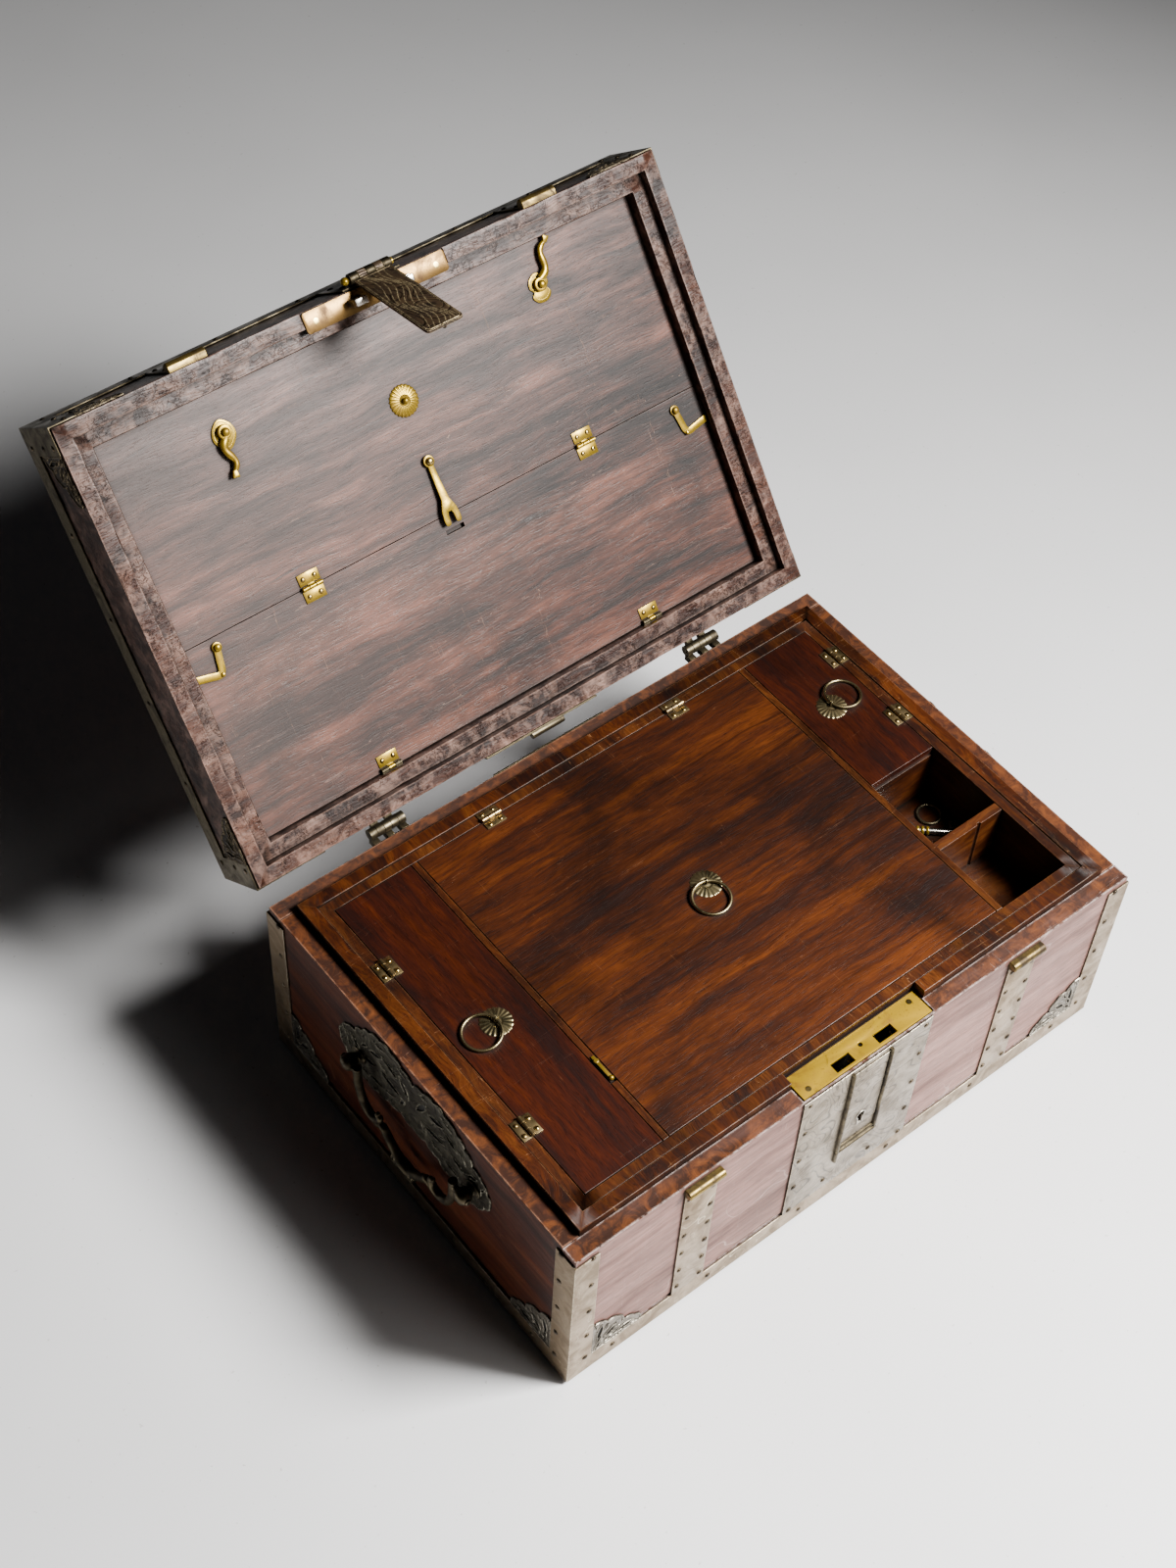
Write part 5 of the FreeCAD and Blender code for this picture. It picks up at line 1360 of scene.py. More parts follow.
@dataclass
class Rosette:
    """A round plate with many fine flutes, like a shell."""

    radius: float = 10.6
    flutes: int = 20
    thick: float = 1.0
    dish: float = 0.35

    def build(self, draw: Drawing) -> None:
        """Draws the rosette in the drawing's present frame.

        Args:
            draw: The drawing.
        """
        sides = self.flutes * 6
        rings = []
        for share, height in (
            (1.0, 0.0), (1.0, 0.3), (0.985, 0.45), (0.93, 0.6), (0.8, 0.75), (0.62, 0.9), (0.45, 1.0),
            (0.38, 1.0), (0.34, 0.75), (0.3, 0.7), (0.2, 1.1), (0.12, 1.25)):
            ring = []
            flute = max(0.0, share - 0.36) / 0.64
            for i in range(sides):
                angle = 2 * math.pi * i / sides
                wave = 0.5 + 0.5 * math.cos(self.flutes * angle)
                reach = self.radius * share * (1.0 - 0.035 * flute * (1 - wave))
                lift = self.thick * height - self.dish * flute * (1 - wave) * (1.0 if height else 0.0)
                ring.append((reach * math.cos(angle), reach * math.sin(angle), max(lift, 0.0)))
            rings.append(ring)
        draw.skin(rings)


@dataclass
class TrayWorks(Fitting):
    """The flush lids' brass: hinges, shell rosettes and ring pulls, and the spring catch."""

    ring_radius: float = 12.4
    wire: float = 1.0
    axis_height: float = 3.1
    hinges: dict = kept({
        "left": [(29.5, 222.9, 90), (29.5, 84.4, 90)],
        "centre": [(151.0, 278.5, 0), (303.8, 278.5, 0)],
        "right": [(420.5, 248.7, -90), (420.5, 185.4, -90)],
    })
    pulls: dict = kept({
        "left": ((59.7, 153.0), (-0.988, -0.154)),
        "centre": ((227.2, 155.6), (-0.42, -0.907)),
        "right": ((389.7, 217.0), (0.973, 0.232)),
    })
    catch: tuple = (90.1, 95.0, 80.6)

    def build(self) -> None:
        """Builds everything on the tray."""
        hinge = Hinge()
        fixed = Drawing(Part.BOX)
        fixed_heads = []
        for name, spots in self.hinges.items():
            moving = Drawing(Part.BOX)
            moving_heads = []
            for x, y, turn in spots:
                middle = Matrix.Translation((x, y, TRAY_TOP + hinge.rise))
                place = middle @ Matrix.Rotation(math.radians(turn), 4, "Z")
                hinge.leaf(fixed, place, 1, 0)
                fixed_heads += hinge.heads(Part.BOX, place, 1)
                hinge.leaf(moving, place, -1, 1)
                moving_heads += hinge.heads(Part.BOX, place, -1)
            self.shop.piece(name + "_lid_hinges", moving, self.palette.hinge_brass, name + "_tray_fittings")
            self.shop.studs(name + "_lid_screws", moving_heads, *hinge.head, self.palette.screw_brass,
                            name + "_tray_fittings", seed=3)
            self.pull(name)
        self.shop.piece("fixed_tray_hinges", fixed, self.palette.hinge_brass, "tray_hinges")
        self.shop.studs(
            "fixed_tray_screws", fixed_heads, *hinge.head, self.palette.screw_brass, "tray_hinges", seed=4)
        self.spring()

    def pull(self, name: str) -> None:
        """Builds one lid's rosette and ring.

        Args:
            name: The lid's name.
        """
        (x, y), (dx, dy) = self.pulls[name]
        turn = Matrix.Rotation(math.atan2(dy, dx) - math.pi / 2, 4, "Z")
        place = Matrix.Translation((x, y, TRAY_TOP)) @ turn
        shell = Drawing(Part.BOX, place)
        Rosette().build(shell)
        shell.lathe([(1.9, 0.6), (1.7, 0.95), (1.0, 1.3), (0.9, 1.6)])
        eye = [(0, y, self.axis_height + z) for y, z in circle((0, 0), 1.7, 20)]
        shell.tube(eye, 0.42, 10, closed=True, upright=(1, 0, 0))
        self.shop.piece(
            name + "_shell_rosette", shell, self.palette.rosette_brass, name + "_tray_fittings", False)
        tilt = -math.asin((self.axis_height - self.wire - 0.15) / (2 * self.ring_radius))
        axis = place @ Matrix.Translation((0, 0, self.axis_height))
        ring = Drawing(Part.BOX, axis @ Matrix.Rotation(tilt, 4, "X"))
        loop = [(x, self.ring_radius - y, 0) for y, x in circle((0, 0), self.ring_radius, 56)]
        ring.tube(loop, self.wire, 12, closed=True)
        self.shop.piece(name + "_pull_ring", ring, self.palette.rosette_brass, name + "_ring")

    def spring(self) -> None:
        """Builds the spring catch on the left divider."""
        x, root, ball = self.catch
        draw = Drawing(Part.BOX)
        draw.block((x - 1.1, ball + 0.4, TRAY_TOP + 0.3), (x + 1.1, root + 4, TRAY_TOP + 1.1), 0.25)
        draw.lathe([(1.7, 0), (1.7, 1.2), (1.2, 1.6)], (x, root, TRAY_TOP))
        globe = [(max(y, 0.2), -x) for x, y in arc((0, 0), 1.8, 0, 180, 10)]
        draw.lathe(globe, (x, ball, TRAY_TOP + 0.6), sides=18)
        self.shop.piece("spring_and_ball", draw, self.palette.bright_brass, "spring_catch")


def ball_profile(radius: float, low: float, high: float, neck: float) -> list:
    """The profile of a ball on a neck.

    Args:
        radius: The ball's radius.
        low: The height of its lowest point.
        high: The height of its highest point.
        neck: The neck's radius.

    Returns:
        Pairs of a radius and a height.
    """
    middle, half = (low + high) / 2, (high - low) / 2
    start = math.asin(min(neck / radius, 1.0))
    angles = [start + (math.pi - start) * i / 9 for i in range(10)]
    ball = [(max(radius * math.sin(a), 0.12), middle - half * math.cos(a)) for a in angles]
    return [(neck, 0.0)] + ball


def under_leaf(x: float, y: float, turn: float = 0.0) -> Matrix:
    """The frame of a fitting under the document panel's visible face, turned by degrees."""
    return (Matrix.Translation((x, y, LEAF_FACE)) @ Matrix.Rotation(math.radians(turn), 4, "Z")
            @ Matrix.Diagonal((1, 1, -1, 1)))


@dataclass
class PanelWorks(Fitting):
    """The document panel's brass: hinges, hooks on shields, elbow latches, rosette and forked lever."""

    fold_x: tuple = (116.5, 334.0)
    foot_x: tuple = (117.9, 334.5)
    fold_y: float = 156.5
    foot_y: float = 285.1
    axis_z: float = LEAF_FACE - 1.8
    rosette: tuple = (222.9, 78.6)
    hooks: dict = kept({"left": ((102.2, 46.8), 28.5, 98.8), "right": ((343.0, 49.5), 31.4, -59.9)})
    latches: dict = kept({
        "left": ((43.0, 163.1), (39.6, 180.0), (21.3, 175.9)),
        "right": ((407.1, 165.2), (410.6, 182.8), (428.7, 179.6)),
    })
    shields: dict = kept({
        "left": ([(-6.3, -3.5), (0, -8), (6.3, -3.5), (8, 3.5), (4.2, 9.2), (0, 11.6), (-4.2, 9.2),
                  (-8, 3.5)], 5),
        "right": ([(-6, -4.6), (0, -7.8), (6, -4.6), (7.4, 0.6), (5.2, 3.6), (7.2, 7), (4.2, 11), (0, 12),
                   (-4.2, 11), (-7.2, 7), (-5.2, 3.6), (-7.4, 0.6)], 4),
    })
    fork: tuple = (222.4, 119.8)
    fork_outline: list = kept([
        (2.0, 0), (2.3, 12), (2.9, 26), (5.6, 33), (6.3, 39.2), (5.9, 42.2), (4.9, 43.2), (2.8, 43.0),
        (2.1, 41.8), (1.9, 37), (1.2, 34.6),
    ])

    def build(self) -> None:
        """Builds everything on the panel."""
        self.hinges()
        for name in self.hooks:
            self.hook(name)
            self.latch(name)
        self.lever()

    def hinge_place(self, x: float, y: float) -> Matrix:
        """The frame of one of the panel's hinges."""
        return Matrix.Translation((x, y, self.axis_z)) @ Matrix.Diagonal((1, 1, -1, 1))

    def hinges(self) -> None:
        """Builds the hinge leaves with their screws, the latches' screws, the shields and the rosette."""
        hinge = Hinge(width=9.5)
        lower, upper = Drawing(Part.LID), Drawing(Part.LID)
        lower_heads, upper_heads = [], []
        for x in self.fold_x:
            place = self.hinge_place(x, self.fold_y)
            hinge.leaf(lower, place, 1, 0)
            lower_heads += hinge.heads(Part.LID, place, 1)
            hinge.leaf(upper, place, -1, 1)
            upper_heads += hinge.heads(Part.LID, place, -1)
        for x in self.foot_x:
            place = self.hinge_place(x, self.foot_y)
            hinge.leaf(lower, place, -1, 1)
            lower_heads += hinge.heads(Part.LID, place, -1)
        for pivot, _, _ in self.latches.values():
            lower.at(under_leaf(*pivot)).lathe(ball_profile(2.4, 1.7, 4.2, 1.25), sides=20)
        shop, palette = self.shop, self.palette
        shop.piece("lower_panel_brass", lower, palette.bright_brass, "lower_leaf_fittings")
        shop.studs(
            "lower_panel_screws", lower_heads, *hinge.head, palette.screw_brass, "lower_leaf_fittings",
            seed=5)
        for side, (pivot, _, _) in self.hooks.items():
            upper.at(under_leaf(*pivot))
            shield = flowing(*self.shields[side], closed=True)
            upper.slab(shield, 0, 1.0, ease=0.35)
            upper.tube([(x * 0.82, y * 0.82, 1.0) for x, y in shield], 0.3, 6, closed=True)
            upper.lathe(ball_profile(2.6, 4.6, 7.3, 1.55), sides=20)
        upper.at(under_leaf(*self.rosette))
        Rosette(flutes=24, thick=1.6, dish=0.5).build(upper)
        upper.lathe(ball_profile(2.2, 1.3, 4.5, 1.4), sides=22)
        shop.piece("upper_panel_brass", upper, palette.bright_brass, "upper_leaf_fittings")
        shop.studs(
            "upper_panel_screws", upper_heads, *hinge.head, palette.screw_brass, "upper_leaf_fittings",
            seed=6)

    def hook(self, name: str) -> None:
        """Builds one swan-necked hook.

        Args:
            name: Which one.
        """
        pivot, reach, angle = self.hooks[name]
        draw = Drawing(Part.LID, under_leaf(*pivot, angle))
        draw.washer((0, 0), 4.6, 1.75, 1.6, 4.4, 0.5)
        path, radii = [], []
        for i in range(25):
            s = i / 24
            x = 3.6 + (reach - 7.0) * s
            path.append((x, 2.6 * math.sin(2 * math.pi * s), 3.0 + 0.25 * math.sin(math.pi * s)))
            radii.append(2.7 - 1.3 * s + 0.35 * math.sin(3 * math.pi * s) ** 2)
        draw.tube(path, radii, 14, flat=0.62)
        beak = [(reach - 4.6, -1.2), (reach - 1.6, -2.1), (reach, -2.3), (reach - 0.2, 0), (reach, 2.3),
                (reach - 1.6, 2.1), (reach - 4.6, 1.2)]
        draw.slab(beak, 1.6, 4.4, ease=0.4)
        self.shop.piece(name + "_swan_hook", draw, self.palette.bright_brass, name + "_hook")

    def latch(self, name: str) -> None:
        """Builds one elbow latch.

        Args:
            name: Which one.
        """
        pivot, elbow, end = (Vector(p) for p in self.latches[name])
        first, last = elbow - pivot, end - elbow
        bend = [
            pivot, pivot + first * 0.45, pivot + first * 0.85, elbow + last * 0.12, elbow + last * 0.45, end]
        line = [Vector(p).to_2d() for p in flowing([(*p, 0) for p in bend], 6)]
        draw = Drawing(Part.LID)
        low, high = LEAF_FACE - 1.6, LEAF_FACE - 0.2
        outline = ribbon(line, 2.3, 8)
        limit = end.x
        clipped = [(max(x, limit) if name == "left" else min(x, limit), y) for x, y in outline]
        draw.slab(clipped, low, high, ease=0.3)
        draw.washer(pivot, 3.4, 1.4, low, high, 0.3)
        draw.lathe([(1.6, -0.2), (1.5, 0.5), (1.2, 1.0), (0.4, 1.3)], (*elbow, low), (0, 0, -1), 16)
        self.shop.piece(name + "_elbow_latch", draw, self.palette.bright_brass, name + "_latch")

    def lever(self) -> None:
        """Builds the forked lever and its screw."""
        outline = self.fork_outline + [(-x, y) for x, y in self.fork_outline[::-1]]
        dense = []
        for a, b in zip(outline, outline[1:] + outline[:1]):
            steps = max(1, int(math.dist(a, b) / 1.6))
            dense += [
                (a[0] + (b[0] - a[0]) * k / steps, a[1] + (b[1] - a[1]) * k / steps) for k in range(steps)]
        draw = Drawing(Part.LID, under_leaf(*self.fork))

        def lift(_: float, y: float) -> float:
            """How far the lever rises at a place along it."""
            share = min(max((y - 6) / 24, 0.0), 1.0)
            return 1.6 * (3 * share ** 2 - 2 * share ** 3)

        draw.slab(dense, 1.4, 2.7, ease=0.3, bend=lift)
        draw.washer((0, 0), 3.9, 1.5, 1.4, 2.7, 0.3)
        self.shop.piece("forked_lever", draw, self.palette.bright_brass, "fork_lever")
        screw = Drawing(Part.LID, under_leaf(*self.fork))
        screw.lathe([(3.4, 0.2), (3.6, 0.4), (3.6, 1.0), (3.4, 1.2), (1.4, 1.25)], sides=26)
        screw.lathe([(1.38, 1.0), *ball_profile(2.5, 2.8, 5.3, 1.38)[1:]], sides=20)
        self.shop.piece("lever_screw", screw, self.palette.screw_brass, "fork_screw")


@dataclass
class Boards(Fitting):
    """The wood of the box, the tray and the lid."""

    def build(self) -> None:
        """Builds all boards."""
        p = self.palette
        rows = [
            ("front_board", p.front, 0.8, 0.3), ("back_board", p.carcase, 0.8, 0.3),
            ("side_boards", p.carcase_side, 0.8, 0.3), ("bottom_board", p.carcase, 0.5, 0.0),
            ("rim_lip", p.rim, 0.7, 0.3), ("inner_frame", p.lining_side, 0.4, 0.15),
            ("compartment_dividers", p.lining_side, 0.5, 0.2), ("well_box", p.lining, 0.4, 0.15),
            ("tray_ledges", p.lining, 0.4, 0.0), ("left_tray_lid", p.tray_side, 0.5, 0.12),
            ("centre_tray_lid", p.tray, 0.5, 0.12), ("right_tray_lid", p.tray_side, 0.5, 0.12),
            ("lid_board", p.lid_top, 0.8, 0.3), ("lid_rails", p.lid_wood, 1.3, 0.6),
            ("lid_inner_frame", p.lid_wood, 0.8, 0.4), ("lower_leaf", p.panel, 0.6, 0.15),
            ("upper_leaf", p.panel, 0.6, 0.15),
        ]
        for node, finish, ease, worn in rows:
            self.shop.eased(node, finish, ease, worn, 9.0 if worn > 0.35 else 16.0)


@dataclass
class Straps(Fitting):
    """The sheet brass round the box and the lid, with its half-round bars and its nails."""

    strap_x: tuple = (93.1, 356.9)
    half: float = 12.7
    band_top: float = 20.0
    strap_top: float = 147.0
    bar_low: float = 144.0
    bar_radius: float = 3.4
    lid_sheet: tuple = (159.4, 192.6)
    lid_edge: float = 14.0

    def build(self) -> None:
        """Builds the straps, bands and nails."""
        p = self.palette
        for node, finish, ease in (
            ("base_band", p.lit_front_brass, 0.35), ("corner_straps", p.lit_front_brass, 0.35),
            ("back_straps", p.aged_brass, 0.3), ("lid_bands", p.aged_brass, 0.35),
            ("lid_hinges", p.aged_brass, 0.25), ("lock_case", p.iron, 0.3), ("lock_bolt", p.steel, 0.3),
        ):
            self.shop.eased(node, finish, ease)
        self.straps(Part.BOX, "front", p.lit_front_brass, (self.band_top, self.strap_top), (0.4, self.bar_low))
        self.straps(Part.LID, "lid", p.aged_brass, self.lid_sheet, (0.0, LID_BOTTOM + 0.4))
        for node, seed in (("body_nails", 11), ("lid_nails", 12)):
            self.shop.studs(
                node + "_domed", self.spots(node), 1.95, 1.0, p.nail_brass, node, True, 0.12, seed)

    def spots(self, node: str) -> list:
        """The places of a node's nails: each is a point over four feet.

        Args:
            node: The node of the nails.

        Returns:
            The nails' places.
        """
        found = []
        for corners in self.shop.islands(node):
            top = min(corners, key=lambda c: sum((c - other).length for other in corners))
            rest = [c for c in corners if c is not top]
            foot = sum(rest, Vector()) / len(rest)
            found.append(Stud(foot, (top - foot).normalized()))
        return sorted(found, key=lambda s: tuple(round(c, 5) for c in s.place))

    def half_round(self, draw: Drawing, x0: float, x1: float, z: float) -> None:
        """A half-round bar on the front with rounded ends.

        Args:
            draw: The drawing.
            x0: Its left end.
            x1: Its right end.
            z: The height of its middle.
        """
        y, radius = -self.bar_radius + 0.6, self.bar_radius
        rings = []
        for x, share in ((x0, 0.8), (x0 + 0.7, 1.0), (x1 - 0.7, 1.0), (x1, 0.8)):
            ring = [(x, y - radius * share * math.sin(a), z + radius * share * math.cos(a))
                    for a in (math.pi * (1 + i) / 15 - 0.2 for i in range(15))]
            rings.append([(x, 0.0, z + radius * share * 0.9)] + ring + [(x, 0.0, z - radius * share * 0.9)])
        draw.skin(rings)

    def straps(self, part: Part, prefix: str, finish: Metal, span: tuple, bar: tuple) -> None:
        """Builds the upright sheets on the front of one half, and the bars across them.

        Args:
            part: The half.
            prefix: The start of the pieces' names.
            finish: The sheets' metal.
            span: The heights of the sheets' ends.
            bar: How far the bars overhang on the left, and the height of their middle.
        """
        sheets, bars = Drawing(part), Drawing(part)
        for x in self.strap_x:
            left, right = x - self.half, x + self.half
            sheets.block((left, -SHEET, span[0]), (right, 0, span[1]), 0.3)
            if part is Part.LID:
                back = DEPTH - self.lid_edge
                sheets.block((left, self.lid_edge, LID_TOP), (right, back, LID_TOP + SHEET), 0.3)
            self.half_round(bars, left - bar[0], right + 2, bar[1] + self.bar_radius)
        self.shop.piece(prefix + "_strap_sheets", sheets, finish, prefix + "_straps")
        self.shop.piece(prefix + "_strap_bars", bars, self.palette.bar_brass, prefix + "_straps", False)


@dataclass
class Foliage(Fitting):
    """The pierced foliate mounts in the corners and behind the handles."""

    thick: float = 1.2
    shrunk: float = 0.97
    rim_share: float = 0.62
    box_reach: tuple = (39.0, 36.0)
    lid_reach: tuple = (33.0, 31.0)
    leg: float = 17.0
    leaves: list = kept([
        (0.64, 0.17, 0.4, 0.13, 4), (0.36, 0.38, 0.32, 0.13, 38), (0.15, 0.6, 0.42, 0.12, 80),
        (0.83, 0.1, 0.16, 0.07, -18), (0.13, 0.16, 0.2, 0.09, 45), (0.34, 0.15, 0.18, 0.08, 20),
        (0.14, 0.36, 0.2, 0.08, 66), (0.48, 0.3, 0.16, 0.06, 30), (0.28, 0.62, 0.16, 0.06, 60),
        (0.06, 0.86, 0.14, 0.05, 84),
    ])
    upper: list = kept(
        [(77, 24), (74, 34), (69, 42), (60, 46), (52, 56), (44, 63), (33, 67), (22, 68), (11, 65), (0, 59)])
    lower: list = kept([(72, 14), (62, 5), (50, 2), (38, 4), (26, 9), (13, 12), (0, 10)])
    handle_leaves: list = kept([
        (9, 46, 20, 5, 60), (24, 50, 18, 5, 20), (38, 46, 16, 4.5, -30), (22, 32, 22, 5, 10),
        (45, 30, 14, 4.5, -20), (60, 34, 12, 4, 40), (66, 24, 12, 3.5, 70), (38, 16, 16, 4, -10),
        (11, 60, 9, 2.4, 10), (34, 60, 12, 2.6, -12), (50, 42, 10, 2.6, -50), (11, 26, 11, 3, -60),
        (24, 20, 12, 2.8, -25), (52, 12, 13, 2.8, 8), (70, 33, 7, 2.2, 60), (30, 40, 8, 2.2, 35),
    ])

    def relief(self, draw: Drawing, back: Drawing, outline: list, holes: list) -> None:
        """A pierced plate whose edges stand up as carved rims, over a black backing sheet that paints shade into
        its piercings.

        Args:
            draw: The drawing.
            back: The backing's drawing.
            outline: Its outline.
            holes: Its holes.
        """
        draw.slab(outline, 0, self.thick * 0.6, holes, 0.15)
        back.at(draw.place).slab([(x * self.shrunk, y * self.shrunk) for x, y in outline], 0, 0.15)
        centre = sum((Vector(p) for p in outline), Vector((0, 0))) / len(outline)
        rim = self.thick * self.rim_share
        inward = []
        for x, y in outline:
            way = (centre - Vector((x, y))).normalized() * 0.5
            inward.append((x + way.x, y + way.y, rim))
        draw.tube(inward, 0.55, 6, closed=True, flat=0.95)
        for hole in holes:
            draw.tube([(x, y, rim) for x, y in hole], 0.42, 6, closed=True, flat=1.15)

    def corner(self, draw: Drawing, back: Drawing, reach: float, height: float) -> None:
        """One corner mount in the drawing's present frame.

        Args:
            draw: The drawing.
            back: The backing's drawing.
            reach: Its length along the side.
            height: Its height.
        """
        corners = [
            (0, 0), (reach, 0), (reach * 0.86, height * 0.3), (reach * 0.62, height * 0.42),
            (reach * 0.52, height * 0.7), (reach * 0.28, height * 0.8), (0, height),
        ]
        outline = [(max(x, 0), max(y, 0)) for x, y in lobed(corners, 0.2, 5)]
        spaced = [p for i, p in enumerate(outline) if math.dist(p, outline[i - 1]) > 0.2]
        holes = [leaf_outline(reach * x, height * y, reach * long, height * wide, turn)
                 for x, y, long, wide, turn in self.leaves]
        self.relief(draw, back, spaced, holes)

    def mounts(self, part: Part, reach: tuple, base: float) -> tuple:
        """The mounts in the corners of all four sides.

        Args:
            part: The half that they belong to.
            reach: Their length and height.
            base: The height of their lower edge.

        Returns:
            The drawing of the mounts and the drawing of their backing.
        """
        draw, back = Drawing(part), Drawing(part)
        for side in Side:
            for u, way in ((self.leg, 1), (side.span - self.leg, -1)):
                draw.at(side.place(u, base) @ Matrix.Diagonal((way, 1, 1, 1)))
                self.corner(draw, back, *reach)
        return draw, back

    def build(self) -> None:
        """Builds the mounts and the handles' plates."""
        shop, palette = self.shop, self.palette
        low, low_back = self.mounts(Part.BOX, self.box_reach, 20.0)
        shop.piece("foliate_corners", low, palette.mount_silver, "corner_mounts")
        # The black backing sheets paint shade into the mounts' piercings.
        shop.piece("foliate_backing", low_back, palette.shade_backing, "corner_mounts", False)
        high, high_back = self.mounts(Part.LID, self.lid_reach, LID_BOTTOM + 2.5)
        shop.piece("lid_foliate_corners", high, palette.lid_mount, "lid_corner_mounts")
        shop.piece("lid_foliate_backing", high_back, palette.shade_backing, "lid_corner_mounts", False)
        left = [(-x, z) for x, z in self.upper[-2::-1] + self.lower]
        ring = self.upper + left + self.lower[-2::-1]
        outline = lobed(ring, 0.2, 5)
        holes = []
        for way in (1, -1):
            for x, z, long, wide, turn in self.handle_leaves:
                holes.append(leaf_outline(way * x, z, long, wide, turn if way > 0 else 180 - turn))
        draw, back = Drawing(Part.BOX), Drawing(Part.BOX)
        for side in (Side.LEFT, Side.RIGHT):
            shift = DEPTH / 2 - 1.5 if side is Side.LEFT else DEPTH / 2 + 1.5
            draw.at(side.place(shift, 83.0))
            self.relief(draw, back, outline, holes)
        shop.piece("handle_foliage", draw, palette.cartouche, "side_cartouches")
        shop.piece("handle_foliage_backing", back, palette.shade_backing, "side_cartouches", False)


@dataclass
class Handles(Fitting):
    """The two drop handles and the knobs that they hang in."""

    post_y: tuple = (94.0, 211.0)
    height: float = 107.0
    out: float = 9.5
    middle: float = 152.5
    pin: float = 2.2
    arm: list = kept([(49, 5), (49, -4), (48.6, -12), (44.5, -26), (36.5, -32.5), (29.5, -31), (26.5, -25.5),
                      (28.6, -23)])
    grip: list = kept(
        [(31.5, -36.5), (26.0, -32.0), (22.5, -30.5), (19.5, -34), (10.5, -43), (5, -47), (0, -47.4)])

    def build(self) -> None:
        """Builds the posts and both handles."""
        for side in (Side.LEFT, Side.RIGHT):
            self.bail(side)
        self.posts()

    def posts(self) -> None:
        """Builds the four knobs."""
        profile = [
            (6.4, 0), (6.4, 0.8), (5.2, 1.4), (3.9, 2.2), (3.7, 3.0), (4.5, 3.8), (5.1, 4.8), (5.4, 6.2),
            (5.4, 9.4), (5.1, 10.8), (4.2, 12.0), (2.6, 12.7), (0.8, 12.85)]
        draw, bore = Drawing(Part.BOX), Drawing(Part.BOX)
        for y in self.post_y:
            for x, way in ((-SHEET, -1), (WIDTH + SHEET, 1)):
                draw.lathe(profile, (x, y, self.height), (way, 0, 0), 32)
                middle = -self.out if way < 0 else WIDTH + self.out
                bore.lathe(
                    [(self.pin + 0.12, -9), (self.pin + 0.12, 9)], (middle, y, self.height), (0, 1, 0), 20)
        self.shop.piece(
            "handle_knobs", self.shop.bored(draw, bore), self.palette.dark_bronze, "handle_posts")

    def bail(self, side: Side) -> None:
        """Builds one handle.

        Args:
            side: The side that it hangs on.
        """
        x = -self.out if side is Side.LEFT else WIDTH + self.out
        draw = Drawing(Part.BOX, Matrix.Translation((x, self.middle, self.height)))
        post = self.arm[0][0]
        for way in (-1, 1):
            line = flowing([(0, way * y, z) for y, z in self.arm], 7)
            radii = [2.9 - 1.3 * max(0.0, i / len(line) - 0.72) / 0.28 for i in range(len(line))]
            draw.tube(line, radii, 16, upright=(1, 0, 0))
            draw.lathe(
                [(0.3, -1.9), (1.5, -1.2), (2.0, 0), (1.5, 1.2), (0.3, 1.9)], line[-1], (0, way, 0), 16)
            pin = [(self.pin - 0.3, 0), (self.pin, 0.3), (self.pin, 15.6), (self.pin - 0.5, 16)]
            draw.lathe(pin, (0, way * post, 0), (0, way, 0), 20)
            draw.lathe([(2.4, 0.4), (2.9, 1.0), (2.9, 4.2), (2.0, 4.6)], (0, way * post, 0.3), (0, 0, 1), 18)
        curve = [(0, y, z) for y, z in self.grip] + [(0, -y, z) for y, z in self.grip[-2::-1]]
        line = flowing(curve, 6)
        radii = []
        for p in line:
            off = abs(p.y)
            swell = 1.3 * max(0.0, 1 - (off / 12) ** 2)
            taper = 1.1 * min(max((off - 20) / 12, 0.0), 1.0)
            radii.append(2.9 + swell - taper)
        draw.tube(line, radii, 16, upright=(1, 0, 0))
        for off in (-10.5, -7.6, 7.6, 10.5):
            draw.lathe(
                [(2.9, -0.9), (3.9, -0.5), (4.1, 0), (3.9, 0.5), (2.9, 0.9)], (0, off, -46.3), (0, 1, 0), 20)
        name = "left" if side is Side.LEFT else "right"
        self.shop.piece(name + "_drop_handle", draw, self.palette.dark_bronze, name + "_bail")


